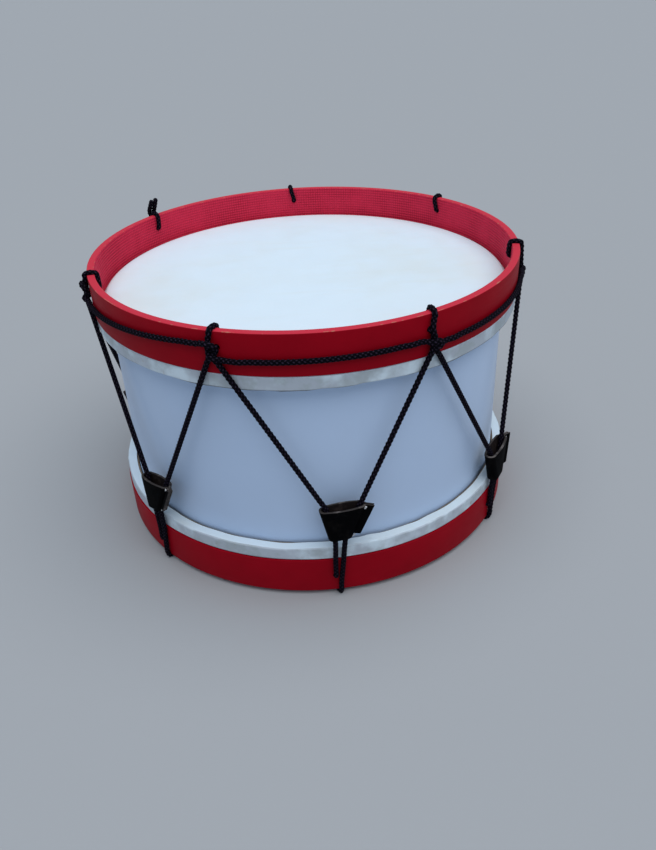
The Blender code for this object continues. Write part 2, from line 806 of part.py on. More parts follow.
def stitch_heights():
    """Heights above the base of the holes for the thread, from the top down."""
    inset = STITCH_END + FLANGE_STEP + THREAD
    step = (TUG_HEIGHT - 2 * inset) / (STITCH_HOLES - 1)
    return [TUG_HEIGHT - inset - step * hole for hole in range(STITCH_HOLES)]


def stitch_place(height, depth):
    """A place on the row of stitches, at a height above the base and a depth in the leather."""
    _middle, lean, _half = tug_section(height)
    return Vector((flange_side(height, STITCH_SHARE), lean + depth, height))


def add_stitch_cutter():
    """Holes for the thread through both layers of the flange."""
    bm = bmesh.new()
    for height in stitch_heights():
        turned = Matrix.Rotation(math.pi / 2, 4, "X")
        centre = Matrix.Translation(stitch_place(height, 0))
        bmesh.ops.create_cone(
            bm,
            cap_ends=True,
            segments=STITCH_SIDES,
            radius1=THREAD_HOLE / 2,
            radius2=THREAD_HOLE / 2,
            depth=LEATHER * 4,
            matrix=centre @ turned,
        )
    return add_mesh("stitch_cutter", bm)


def stitch_route():
    """The thread in and out of the flange's holes, from the top down, outer face first."""
    face = LEATHER + CLEARANCE + THREAD / 2
    heights = stitch_heights()
    way = [(heights[0] + STITCH_END, -face)]
    front = -1
    for height in heights:
        way.append((height + THREAD, front * face))
        way.append((height, front * LEATHER))
        way.append((height, -front * LEATHER))
        way.append((height - THREAD, -front * face))
        front = -front
    way.append((heights[-1] - STITCH_END, front * face))
    return [stitch_place(*spot) for spot in way]


def add_tugs(leather, thread):
    """Seven tugs with their stitching, each on an empty at the slide of its joint."""
    loop = add_tug_loop()
    combine(loop, add_flange(), "UNION")
    combine(loop, add_stitch_cutter(), "DIFFERENCE")
    tug = finished_mesh(make_guide(loop), "tug")
    tug.materials.clear()
    tug.materials.append(leather)
    stitching = add_tube("stitching_guide", stitch_route(), THREAD, thread, STITCH_SIDES)
    make_guide(stitching)
    for point in range(LACING_POINTS):
        slide = bpy.data.objects.new(f"tug_slide_{point + 1}", None)
        azimuth = lower_azimuth(point)
        slide.location = place(azimuth, 0, TUG_CORD_RADIUS, tug_base(point))
        slide.rotation_euler.z = azimuth
        bpy.context.scene.collection.objects.link(slide)
        for name, data in (("tug", tug), ("tug_stitching", stitching.data)):
            obj = bpy.data.objects.new(f"{name}_{point + 1}", data)
            obj.parent = slide
            bpy.context.scene.collection.objects.link(obj)


def main():
    """Build the whole drum."""
    clear_scene()
    materials = {name: make_material(name) for name in COLOURS}
    add_hoops(materials["red_board"])
    add_body(materials["white_shell"], materials["plain_wood"], materials["rawhide"])
    add_lacing(materials["black_cord"])
    add_tied_ends(materials["black_cord"])
    add_girdle(materials["black_cord"])
    add_tugs(materials["black_leather"], materials["white_thread"])


main()
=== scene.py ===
"""Looks of a rope-tensioned bombo drum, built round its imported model.

Two painted board hoops, two lapped heads, a satin shell, one long braided cord laced between
the hoops, a girdle that hitches it to the upper hoop, and seven leather tugs sewn with white
thread. Lengths are in metres and +Z is up. An azimuth of 0 faces -Y, and azimuths grow
towards +X.
"""

import logging
import math
from dataclasses import dataclass
from enum import Enum

import bmesh
import bpy
import numpy as np
from mathutils import Matrix, Vector


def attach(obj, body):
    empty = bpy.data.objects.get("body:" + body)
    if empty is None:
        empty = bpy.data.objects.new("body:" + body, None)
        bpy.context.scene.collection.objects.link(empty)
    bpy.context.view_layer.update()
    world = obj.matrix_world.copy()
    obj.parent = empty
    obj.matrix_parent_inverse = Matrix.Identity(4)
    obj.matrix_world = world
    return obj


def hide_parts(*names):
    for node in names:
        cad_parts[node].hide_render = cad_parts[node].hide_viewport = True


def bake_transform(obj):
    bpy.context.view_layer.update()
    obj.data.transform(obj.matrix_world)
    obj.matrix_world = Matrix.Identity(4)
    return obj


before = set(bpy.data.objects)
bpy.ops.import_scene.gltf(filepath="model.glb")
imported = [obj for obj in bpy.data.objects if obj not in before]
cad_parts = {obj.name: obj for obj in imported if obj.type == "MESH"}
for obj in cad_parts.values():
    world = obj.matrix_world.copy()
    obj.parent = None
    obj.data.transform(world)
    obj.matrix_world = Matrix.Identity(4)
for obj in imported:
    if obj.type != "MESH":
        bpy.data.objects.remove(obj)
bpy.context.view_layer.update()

MM = 0.001
LOG = logging.getLogger("bombo")

Point = tuple[float, float, float]
Colour = tuple[float, float, float]
Socket = bpy.types.NodeSocket
Value = Socket | float | tuple[float, ...]

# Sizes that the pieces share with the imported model
HOOP_RADIUS = 225 * MM
HOOP_WALL = 7.5 * MM
HOOP_HEIGHT = 40 * MM
HOOP_FOOT = 4.8 * MM
RIM = HOOP_FOOT + 286 * MM
HOOP_INNER = HOOP_RADIUS - HOOP_WALL
UPPER_HOLE = RIM - 14.7 * MM
LOWER_HOLE = HOOP_FOOT + 19.5 * MM
SHELL_RADIUS = 211 * MM
HEAD_TOP = RIM - HOOP_HEIGHT + 7 * MM
LAP_TOP = RIM - HOOP_HEIGHT - 0.3 * MM
LAP_BOTTOM = LAP_TOP - 14 * MM
LAP_RADIUS = 224 * MM
CORD = 5 * MM
POINTS = 7
FACETS = 320
DRUM = "drum"


class End(Enum):
    """The drum's two ends."""

    TOP = "top"
    BOTTOM = "bottom"

    def height(self, level: float) -> float:
        """A height given for the upper end, as it is at this end."""
        return level if self is End.TOP else RIM + HOOP_FOOT - level


class Slot(Enum):
    """The record's material slots."""

    BOARD = "red_board"
    HIDE = "rawhide"
    SHELL = "white_shell"
    WOOD = "plain_wood"
    CORD = "black_cord"
    LEATHER = "black_leather"
    THREAD = "white_thread"


# Working by hand in Blender


def deselect_all() -> None:
    """Go to object mode with nothing selected, since an operator acts on all that is."""
    if bpy.context.mode != "OBJECT":
        bpy.ops.object.mode_set(mode="OBJECT")
    bpy.ops.object.select_all(action="DESELECT")


def pick(obj: bpy.types.Object) -> None:
    """Select one object alone and make it active."""
    deselect_all()
    obj.select_set(True)
    bpy.context.view_layer.objects.active = obj


def settle(obj: bpy.types.Object) -> None:
    """Put an object's place, turn and scale into its mesh."""
    pick(obj)
    bpy.ops.object.transform_apply(location=True, rotation=True, scale=True)


def apply_modifiers(obj: bpy.types.Object) -> None:
    """Apply every modifier on an object, from the top down."""
    pick(obj)
    for modifier in list(obj.modifiers):
        bpy.ops.object.modifier_apply(modifier=modifier.name)


def face_outwards(obj: bpy.types.Object) -> None:
    """Merge doubled vertices and turn all faces outwards."""
    pick(obj)
    bpy.ops.object.mode_set(mode="EDIT")
    bpy.ops.mesh.select_all(action="SELECT")
    bpy.ops.mesh.remove_doubles(threshold=0.005 * MM)
    bpy.ops.mesh.normals_make_consistent(inside=False)
    bpy.ops.object.mode_set(mode="OBJECT")


def select_vertices(obj: bpy.types.Object, wanted: np.ndarray) -> None:
    """Go to edit mode with only some vertices selected, and what lies between them."""
    pick(obj)
    bpy.ops.object.mode_set(mode="EDIT")
    bpy.ops.mesh.select_all(action="DESELECT")
    bm = bmesh.from_edit_mesh(obj.data)
    bm.verts.ensure_lookup_table()
    for index in np.nonzero(wanted)[0]:
        bm.verts[index].select = True
    bm.select_flush(True)
    bmesh.update_edit_mesh(obj.data)


def smooth(obj: bpy.types.Object, angle: float = 35) -> None:
    """Shade an object smooth, apart from edges sharper than an angle in degrees."""
    pick(obj)
    bpy.ops.object.shade_smooth_by_angle(angle=math.radians(angle))


def rename(obj: bpy.types.Object, name: str) -> bpy.types.Object:
    """Give an object and its mesh one name."""
    obj.name = name
    obj.data.name = name
    return obj


def copy_turned(source: bpy.types.Object, name: str, azimuth: float, rise: float) -> bpy.types.Object:
    """Copy a piece, with a mesh of its own, to another azimuth.

    Args:
        source: The piece as it is at an azimuth of 0.
        name: The copy's name.
        azimuth: Where the copy goes, in radians.
        rise: How far up the copy goes.

    Returns:
        The copy, with its place in its mesh.
    """
    obj = source.copy()
    obj.data = source.data.copy()
    bpy.context.scene.collection.objects.link(obj)
    rename(obj, name)
    obj.rotation_euler.z = azimuth
    obj.location.z = rise
    settle(obj)
    return obj


def vertex_array(obj: bpy.types.Object) -> np.ndarray:
    """All of a mesh's vertices, one row each."""
    flat = np.zeros(len(obj.data.vertices) * 3)
    obj.data.vertices.foreach_get("co", flat)
    return flat.reshape(-1, 3)


def move_vertices(obj: bpy.types.Object, places: np.ndarray) -> None:
    """Move all of a mesh's vertices to new places, one row each."""
    obj.data.vertices.foreach_set("co", places.astype(np.float32).ravel())
    obj.data.update()


def turn(name: str, section: list[tuple[float, float]], closed: bool) -> bpy.types.Object:
    """Turn a section about the drum's axis, a ring at a time.

    Args:
        name: The piece's name.
        section: Radii and heights, in order.
        closed: Whether the last ring is bridged to the first.

    Returns:
        The turned piece.
    """
    deselect_all()
    radius, height = section[0]
    bpy.ops.mesh.primitive_circle_add(vertices=FACETS, radius=radius, location=(0, 0, height))
    obj = rename(bpy.context.object, name)
    settle(obj)
    bpy.ops.object.mode_set(mode="EDIT")
    bpy.ops.mesh.select_all(action="SELECT")
    for (radius, height), (wider, higher) in zip(section, section[1:]):
        rise = (0, 0, higher - height)
        bpy.ops.mesh.extrude_edges_move(TRANSFORM_OT_translate={"value": rise})
        share = wider / radius
        centre = (0, 0, higher)
        bpy.ops.transform.resize(value=(share, share, 1), center_override=centre)
    if closed:
        bpy.ops.mesh.select_all(action="DESELECT")
        bpy.ops.mesh.select_non_manifold()
        bpy.ops.mesh.bridge_edge_loops()
    bpy.ops.object.mode_set(mode="OBJECT")
    face_outwards(obj)
    return obj


def rounded(corners: list[tuple[float, float, float]], steps: int) -> list[tuple[float, float]]:
    """Round the corners of a closed section.

    Args:
        corners: Radius, height and rounding of each corner, in order.
        steps: How many points each corner gets beyond its first.

    Returns:
        Radii and heights of the rounded section.
    """
    section = []
    count = len(corners)
    for i, (radius, height, rounding) in enumerate(corners):
        here = Vector((radius, height))
        before = Vector(corners[i - 1][:2]) - here
        after = Vector(corners[(i + 1) % count][:2]) - here
        first = here + before.normalized() * rounding
        last = here + after.normalized() * rounding
        for step in range(steps + 1):
            share = step / steps
            bend = (1 - share) ** 2 * first + 2 * share * (1 - share) * here + share**2 * last
            section.append((bend.x, bend.y))
    return section


def place(azimuth: float, side: float, radius: float, height: float) -> Vector:
    """A point out from the axis at an azimuth, moved to the right as seen from outside."""
    out = Vector((math.sin(azimuth), -math.cos(azimuth), 0))
    right = Vector((math.cos(azimuth), math.sin(azimuth), 0))
    return out * radius + right * side + Vector((0, 0, height))


# Shader nodes


class Wiring:
    """Adds nodes to one tree and joins them."""

    def __init__(self, tree: bpy.types.NodeTree) -> None:
        """Start on a tree."""
        self.tree = tree

    def feed(self, socket: Socket, value: Value) -> None:
        """Link a socket to another, or set its constant."""
        if isinstance(value, bpy.types.NodeSocket):
            self.tree.links.new(value, socket)
        else:
            socket.default_value = value

    def add(self, kind: str, inputs: dict | None = None, **settings: object) -> bpy.types.Node:
        """Add a node.

        Args:
            kind: The node's type, without its Shader prefix.
            inputs: What feeds its sockets, by name or number.
            settings: Its other settings.

        Returns:
            The node.
        """
        node = self.tree.nodes.new(kind if kind.startswith("Node") else f"ShaderNode{kind}")
        for key, value in settings.items():
            setattr(node, key, value)
        for key, value in (inputs or {}).items():
            self.feed(node.inputs[key], value)
        return node

    def math(self, operation: str, first: Value, second: Value = 0.0, clamp: bool = False) -> Socket:
        """The outcome of a sum on one or two values."""
        inputs = {0: first, 1: second}
        return self.add("Math", inputs, operation=operation, use_clamp=clamp).outputs[0]

    def blend(self, share: Value, first: Value, second: Value) -> Socket:
        """A colour between two, by a share."""
        inputs = {0: share, 6: opaque(first), 7: opaque(second)}
        return self.add("Mix", inputs, data_type="RGBA").outputs[2]

    def ramp(self, value: Value, low: float, high: float, smooth_steps: bool = True) -> Socket:
        """A value's way from low to high, as a share from 0 to 1."""
        kind = "SMOOTHSTEP" if smooth_steps else "LINEAR"
        inputs = {"Value": value, "From Min": low, "From Max": high}
        return self.add("MapRange", inputs, interpolation_type=kind).outputs[0]

    def noise(self, vector: Value, scale: float, detail: float = 3, roughness: float = 0.5) -> Socket:
        """A soft random value over a surface."""
        inputs = {"Vector": vector, "Scale": scale, "Detail": detail, "Roughness": roughness}
        return self.add("TexNoise", inputs).outputs["Fac"]

    def stretched(self, vector: Value, scale: Point) -> Socket:
        """Coordinates scaled unevenly."""
        return self.add("Mapping", {"Vector": vector, "Scale": scale}).outputs[0]

    def bump(self, height: Value, distance: float, strength: float, normal: Value | None = None) -> Socket:
        """A normal from a height, given in metres, laid over another normal."""
        inputs = {"Height": height, "Distance": distance, "Strength": strength}
        if normal is not None:
            inputs["Normal"] = normal
        return self.add("Bump", inputs).outputs[0]

    def group(self, name: str, inputs: dict) -> bpy.types.Node:
        """Place a shared node group with its own values."""
        node = self.add("Group", node_tree=bpy.data.node_groups[name])
        for key, value in inputs.items():
            self.feed(node.inputs[key], value)
        return node


def opaque(value: Value) -> Value:
    """A colour with its alpha, or a socket as it is."""
    return value if isinstance(value, bpy.types.NodeSocket) else (*value, 1.0)


class EffectGroup:
    """A node group with named sockets, for an effect that more than one material uses."""

    def __init__(self, name: str, inputs: dict[str, float | None], output: str) -> None:
        """Make the group's sockets.

        Args:
            name: The group's name.
            inputs: Its inputs' defaults, None for a vector.
            output: The name of what it puts out.
        """
        self.tree = bpy.data.node_groups.new(name, "ShaderNodeTree")
        for key, default in inputs.items():
            kind = "NodeSocketVector" if default is None else "NodeSocketFloat"
            socket = self.tree.interface.new_socket(key, in_out="INPUT", socket_type=kind)
            if default is not None:
                socket.default_value = default
        self.tree.interface.new_socket(output, in_out="OUTPUT", socket_type="NodeSocketFloat")
        self.wiring = Wiring(self.tree)
        self.inputs = self.wiring.add("NodeGroupInput").outputs
        self.end = self.wiring.add("NodeGroupOutput")

    def finish(self, value: Socket) -> None:
        """Put a value out of the group."""
        self.wiring.feed(self.end.inputs[0], value)


def build_groups() -> None:
    """Build the effects that the finishes share."""
    mottle = EffectGroup("mottle", {"Vector": None, "Scale": 20.0, "Contrast": 1.0}, "Value")
    wiring, inputs = mottle.wiring, mottle.inputs
    broad = wiring.add("TexNoise", {"Vector": inputs[0], "Scale": inputs[1], "Detail": 5.0})
    finer = wiring.math("MULTIPLY", inputs[1], 4.7)
    fine = wiring.add("TexNoise", {"Vector": inputs[0], "Scale": finer, "Detail": 3.0})
    both = wiring.math("ADD", broad.outputs["Fac"], wiring.math("MULTIPLY", fine.outputs["Fac"], 0.5))
    spread = wiring.math("MULTIPLY", wiring.math("SUBTRACT", both, 0.75), inputs[2])
    mottle.finish(wiring.math("ADD", spread, 0.5, clamp=True))

    specks = EffectGroup("specks", {"Vector": None, "Scale": 60.0, "Size": 0.1, "Share": 0.3}, "Mask")
    wiring, inputs = specks.wiring, specks.inputs
    cells = wiring.add("TexVoronoi", {"Vector": inputs[0], "Scale": inputs[1]})
    ragged = wiring.add("TexNoise", {"Vector": inputs[0], "Scale": wiring.math("MULTIPLY", inputs[1], 6.0)})
    reach = wiring.math("MULTIPLY", ragged.outputs["Fac"], wiring.math("MULTIPLY", inputs[2], 2.0))
    near = wiring.math("LESS_THAN", cells.outputs["Distance"], reach)
    draw = wiring.add("SeparateColor", {"Color": cells.outputs["Color"]}).outputs[0]
    kept = wiring.math("LESS_THAN", draw, inputs[3])
    specks.finish(wiring.math("MULTIPLY", near, kept))

    wear = EffectGroup("edge_wear", {"Vector": None, "Distance": 1.0, "Width": 0.001, "Scale": 90.0}, "Mask")
    wiring, inputs = wear.wiring, wear.inputs
    rough = wiring.add("TexNoise", {"Vector": inputs[0], "Scale": inputs[3], "Detail": 6.0, "Roughness": 0.7})
    eaten = wiring.math("MULTIPLY", wiring.math("SUBTRACT", rough.outputs["Fac"], 0.5), 3.2)
    limit = wiring.math("MULTIPLY", inputs[2], eaten)
    wear.finish(wiring.math("GREATER_THAN", limit, inputs[1]))

    screen = EffectGroup("screen_back", {"Vector": None, "Pitch": 0.0031, "Radius": 0.2175}, "Height")
    wiring, inputs = screen.wiring, screen.inputs
    parts = wiring.add("SeparateXYZ", {"Vector": inputs[0]}).outputs
    arc = wiring.math("MULTIPLY", wiring.math("ARCTAN2", parts[1], parts[0]), inputs[2])
    wave = wiring.math("DIVIDE", math.pi, inputs[1])
    across = wiring.math("SINE", wiring.math("MULTIPLY", arc, wave))
    up = wiring.math("SINE", wiring.math("MULTIPLY", parts[2], wave))
    knots = wiring.math("MULTIPLY", across, up)
    rows = wiring.math("MULTIPLY", wiring.math("ABSOLUTE", up), 0.25)
    screen.finish(wiring.math("ADD", wiring.math("ABSOLUTE", knots), rows))

    grain = EffectGroup("leather_grain", {"Vector": None, "Scale": 900.0}, "Height")
    wiring, inputs = grain.wiring, grain.inputs
    cells = wiring.add("TexVoronoi", {"Vector": inputs[0], "Scale": inputs[1]}, feature="SMOOTH_F1")
    creases = wiring.add("TexNoise", {"Vector": inputs[0], "Scale": wiring.math("MULTIPLY", inputs[1], 0.2)})
    grain.finish(wiring.math("ADD", cells.outputs["Distance"], creases.outputs["Fac"]))


@dataclass(frozen=True)
class Finish:
    """A material's plain values. Each kind of finish adds its own pattern to them."""

    name: str
    colour: Colour
    roughness: float
    specular: float = 0.5
    coat: float = 0.0
    coat_roughness: float = 0.2
    sheen: float = 0.0
    sheen_roughness: float = 0.5

    def start(self) -> tuple[bpy.types.Material, Wiring, bpy.types.Node, Socket]:
        """Make the material with this finish's plain values.

        Returns:
            The material, its wiring, its shader node and its Object coordinates.
        """
        material = bpy.data.materials.new(self.name)
        material.use_nodes = True
        wiring = Wiring(material.node_tree)
        shader = material.node_tree.nodes["Principled BSDF"]
        shader.inputs["Base Color"].default_value = (*self.colour, 1)
        shader.inputs["Roughness"].default_value = self.roughness
        shader.inputs["Specular IOR Level"].default_value = self.specular
        shader.inputs["Coat Weight"].default_value = self.coat
        shader.inputs["Coat Roughness"].default_value = self.coat_roughness
        shader.inputs["Sheen Weight"].default_value = self.sheen
        shader.inputs["Sheen Roughness"].default_value = self.sheen_roughness
        vector = wiring.add("TexCoord").outputs["Object"]
        return material, wiring, shader, vector

    def build(self) -> bpy.types.Material:
        """Make the material with its pattern."""
        raise NotImplementedError


def drum_coordinates(wiring: Wiring, vector: Socket) -> tuple[Socket, Socket]:
    """A point's distance from the drum's axis, and its height."""
    parts = wiring.add("SeparateXYZ", {"Vector": vector}).outputs
    flat = wiring.add("CombineXYZ", {"X": parts[0], "Y": parts[1]}).outputs[0]
    radius = wiring.add("VectorMath", {0: flat}, operation="LENGTH").outputs["Value"]
    return radius, parts[2]


@dataclass(frozen=True)
class PaintedBoard(Finish):
    """Red paint on a strip of hardboard, smooth outside and screen-backed inside."""

    rim_height: float = RIM
    rim_colour: Colour = (0.60, 0.034, 0.060)
    # The inner colour's light pink is partly the board's paler back and partly painted light and sheen.
    inner_colour: Colour = (0.74, 0.032, 0.080)
    bare_colour: Colour = (0.50, 0.20, 0.14)
    # The dark colour paints shade into the screen's pits.
    dark_colour: Colour = (0.34, 0.008, 0.025)

    def build(self) -> bpy.types.Material:
        """Make the paint, with worn edges and the screen's print under it inside."""
        material, wiring, shader, vector = self.start()
        radius, height = drum_coordinates(wiring, vector)
        inner = wiring.ramp(radius, HOOP_INNER + 0.5 * MM, HOOP_INNER + 0.2 * MM)
        off_rim = wiring.math("ABSOLUTE", wiring.math("SUBTRACT", height, self.rim_height))
        on_rim = wiring.ramp(off_rim, 0.7 * MM, 0.2 * MM)
        edge = None
        for line in (HOOP_RADIUS - 0.4 * MM, HOOP_INNER + 0.4 * MM):
            aside = wiring.math("ABSOLUTE", wiring.math("SUBTRACT", radius, line))
            away = wiring.math("ADD", aside, off_rim)
            edge = away if edge is None else wiring.math("MINIMUM", edge, away)
        lightened = wiring.group("edge_wear", {"Vector": vector, "Distance": edge, "Width": 1.5 * MM, "Scale": 110.0})
        patches = wiring.group("mottle", {"Vector": vector, "Scale": 14.0, "Contrast": 1.6}).outputs[0]
        chips = wiring.group("specks", {"Vector": vector, "Scale": 55.0, "Size": 0.05, "Share": 0.16})
        outer = wiring.blend(patches, self.colour, tuple(0.80 * part for part in self.colour))
        screen = wiring.group("screen_back", {"Vector": vector}).outputs[0]
        # The screen's pits are painted darker, as painted shade in the dimples.
        dimpled = wiring.blend(wiring.ramp(screen, 0.05, 0.95), self.dark_colour, self.inner_colour)
        patchy = wiring.math("MULTIPLY", wiring.ramp(patches, 0.2, 0.8), 0.55)
        # The inner face is painted lighter, partly for the board's paler screen-backed side and partly as painted light
        # and sheen.
        inside = wiring.blend(wiring.math("ADD", patchy, 0.2), self.inner_colour, dimpled)
        colour = wiring.blend(inner, outer, inside)
        colour = wiring.blend(on_rim, colour, self.rim_colour)
        colour = wiring.blend(wiring.math("MULTIPLY", lightened.outputs[0], 0.75), colour, self.bare_colour)
        colour = wiring.blend(wiring.math("MULTIPLY", chips.outputs[0], 0.45), colour, self.bare_colour)
        wiring.feed(shader.inputs["Base Color"], colour)
        streaks = wiring.noise(wiring.stretched(vector, (1, 1, 14)), 60, 4)
        gloss = wiring.math("ADD", wiring.math("MULTIPLY", streaks, 0.22), self.roughness - 0.11)
        dull = wiring.math("ADD", gloss, wiring.math("MULTIPLY", inner, 0.10))
        wiring.feed(shader.inputs["Roughness"], dull)
        print_height = wiring.math("MULTIPLY", screen, inner)
        normal = wiring.bump(print_height, 0.45 * MM, 0.9)
        normal = wiring.bump(streaks, 0.10 * MM, 0.35, normal)
        normal = wiring.bump(wiring.noise(vector, 420, 4), 0.05 * MM, 0.4, normal)
        wiring.feed(shader.inputs["Normal"], normal)
        return material


@dataclass(frozen=True)
class DrumHide(Finish):
    """A white head, scuffed where it is played, whose lap is mottled and creased."""

    lap_colour: Colour = (0.50, 0.545, 0.61)
    stain_colour: Colour = (0.40, 0.36, 0.27)
    scuff_colour: Colour = (0.70, 0.72, 0.66)
    hem_shadow_colour: Colour = (0.10, 0.10, 0.11)

    def build(self) -> bpy.types.Material:
        """Make the skin, with stains along its creases and scuffs on its flat."""
        material, wiring, shader, vector = self.start()
        radius, height = drum_coordinates(wiring, vector)
        lap = wiring.ramp(radius, LAP_RADIUS - 1.6 * MM, LAP_RADIUS - 0.7 * MM)
        clouds = wiring.group("mottle", {"Vector": vector, "Scale": 5.0, "Contrast": 1.2}).outputs[0]
        hide = wiring.blend(wiring.ramp(clouds, 0.25, 0.9), self.colour, self.scuff_colour)
        hide = wiring.blend(0.5, self.colour, hide)
        streaks = wiring.noise(wiring.stretched(vector, (9, 60, 1)), 1.0, 6, 0.6)
        hide = wiring.blend(wiring.math("MULTIPLY", wiring.ramp(streaks, 0.52, 0.75), 0.16), hide, self.scuff_colour)
        spots = wiring.group("specks", {"Vector": vector, "Scale": 26.0, "Size": 0.022, "Share": 0.14})
        hide = wiring.blend(wiring.math("MULTIPLY", spots.outputs[0], 0.7), hide, self.stain_colour)
        patches = wiring.group("mottle", {"Vector": vector, "Scale": 42.0, "Contrast": 2.4}).outputs[0]
        bands = wiring.group("mottle", {"Vector": vector, "Scale": 11.0, "Contrast": 2.0}).outputs[0]
        greenish = tuple(part * share for part, share in zip(self.lap_colour, (0.88, 0.90, 0.86)))
        folded = wiring.blend(wiring.ramp(patches, 0.3, 0.75), self.lap_colour, greenish)
        folded = wiring.blend(wiring.ramp(bands, 0.45, 0.85), folded, self.colour)
        crease = wiring.add("Attribute", attribute_name="crease").outputs["Fac"]
        stained = wiring.math("MULTIPLY", wiring.ramp(crease, 0.45, 1.0), 0.75)
        folded = wiring.blend(stained, folded, self.stain_colour)
        marks = wiring.group("specks", {"Vector": vector, "Scale": 70.0, "Size": 0.05, "Share": 0.10})
        folded = wiring.blend(wiring.math("MULTIPLY", marks.outputs[0], 0.6), folded, self.stain_colour)
        upper = wiring.math("MULTIPLY", wiring.ramp(height, RIM / 2, RIM / 2 + 1 * MM), lap)
        # A dark line is painted along the upper lap's lower edge, as painted shadow under the hem.
        hem = wiring.ramp(height, LAP_BOTTOM + 1.1 * MM, LAP_BOTTOM + 0.4 * MM)
        folded = wiring.blend(wiring.math("MULTIPLY", wiring.math("MULTIPLY", hem, upper), 0.8), folded, self.hem_shadow_colour)
        # A pale band is painted along the top of the upper lap, just under the hoop, as a painted highlight.
        lap_top_highlight = wiring.ramp(height, LAP_TOP - 1.7 * MM, LAP_TOP - 0.9 * MM)
        folded = wiring.blend(wiring.math("MULTIPLY", wiring.math("MULTIPLY", lap_top_highlight, upper), 0.8), folded, self.colour)
        wiring.feed(shader.inputs["Base Color"], wiring.blend(lap, hide, folded))
        dull = wiring.math("ADD", wiring.math("MULTIPLY", patches, 0.16), self.roughness - 0.08)
        wiring.feed(shader.inputs["Roughness"], dull)
        normal = wiring.bump(wiring.noise(vector, 30, 3), 0.35 * MM, 0.25)
        pores = wiring.bump(wiring.noise(vector, 900, 3), 0.04 * MM, 0.35, normal)
        folds = wiring.math("MULTIPLY", wiring.noise(wiring.stretched(vector, (1, 1, 0.35)), 260, 4), lap)
        wiring.feed(shader.inputs["Normal"], wiring.bump(folds, 0.25 * MM, 0.6, pores))
        return material


@dataclass(frozen=True)
class SatinShell(Finish):
    """White satin laminate with a few specks, faint rub marks in its gloss and faint darker vertical bands of painted
    reflection.
    """

    # Also the colour of the painted reflection bands.
    reflection_and_speck_colour: Colour = (0.42, 0.46, 0.52)

    def build(self) -> bpy.types.Material:
        """Make the shell's laminate."""
        material, wiring, shader, vector = self.start()
        clouds = wiring.group("mottle", {"Vector": vector, "Scale": 6.0, "Contrast": 1.0}).outputs[0]
        tint = tuple(0.93 * part for part in self.colour)
        colour = wiring.blend(clouds, self.colour, tint)
        # Soft vertical bands: in the colour they are a painted reflection of the cords, and in the gloss they are rub
        # marks.
        rubs_and_reflection_bands = wiring.noise(wiring.stretched(vector, (1, 1, 0.25)), 24, 3, 0.5)
        colour = wiring.blend(wiring.math("MULTIPLY", wiring.ramp(rubs_and_reflection_bands, 0.4, 0.9), 0.08), colour, self.reflection_and_speck_colour)
        spots = wiring.group("specks", {"Vector": vector, "Scale": 20.0, "Size": 0.022, "Share": 0.35})
        colour = wiring.blend(wiring.math("MULTIPLY", spots.outputs[0], 0.8), colour, self.reflection_and_speck_colour)
        wiring.feed(shader.inputs["Base Color"], colour)
        gloss = wiring.math("ADD", wiring.math("MULTIPLY", rubs_and_reflection_bands, 0.14), self.roughness - 0.07)
        wiring.feed(shader.inputs["Roughness"], gloss)
        normal = wiring.bump(wiring.noise(vector, 9, 2), 1.2 * MM, 0.12)
        wiring.feed(shader.inputs["Normal"], wiring.bump(wiring.noise(vector, 700, 2), 0.02 * MM, 0.3, normal))
        return material


@dataclass(frozen=True)
class BraidedYarn(Finish):
    """Waxed black braid, with a brownish highlight painted on its strands' crowns."""

    crown_highlight_colour: Colour = (0.056, 0.038, 0.070)

    def build(self) -> bpy.types.Material:
        """Make the cord, with its yarns lying along each strand."""
        material, wiring, shader, vector = self.start()
        lay = wiring.add("UVMap", uv_map="lay").outputs[0]
        parts = wiring.add("SeparateXYZ", {"Vector": lay}).outputs
        crown = wiring.add("Attribute", attribute_name="crown").outputs["Fac"]
        hand = wiring.add("Attribute", attribute_name="hand").outputs["Fac"]
        lean = wiring.math("MULTIPLY", parts[0], wiring.math("MULTIPLY", hand, 4 * math.tau))
        yarn = wiring.math("SINE", wiring.math("ADD", wiring.math("MULTIPLY", parts[1], 9000.0), lean))
        fuzz = wiring.noise(vector, 1500, 3)
        # The crowns are painted lighter and brownish, as a painted highlight.
        top = wiring.ramp(crown, 0.68, 1.0)
        lightened = wiring.math("MULTIPLY", top, wiring.ramp(fuzz, 0.25, 0.75))
        wiring.feed(shader.inputs["Base Color"], wiring.blend(lightened, self.colour, self.crown_highlight_colour))
        dull = wiring.math("ADD", wiring.math("MULTIPLY", fuzz, 0.2), self.roughness - 0.1)
        wiring.feed(shader.inputs["Roughness"], dull)
        normal = wiring.bump(yarn, 0.05 * MM, 0.6)
        wiring.feed(shader.inputs["Normal"], wiring.bump(fuzz, 0.06 * MM, 0.5, normal))
        return material


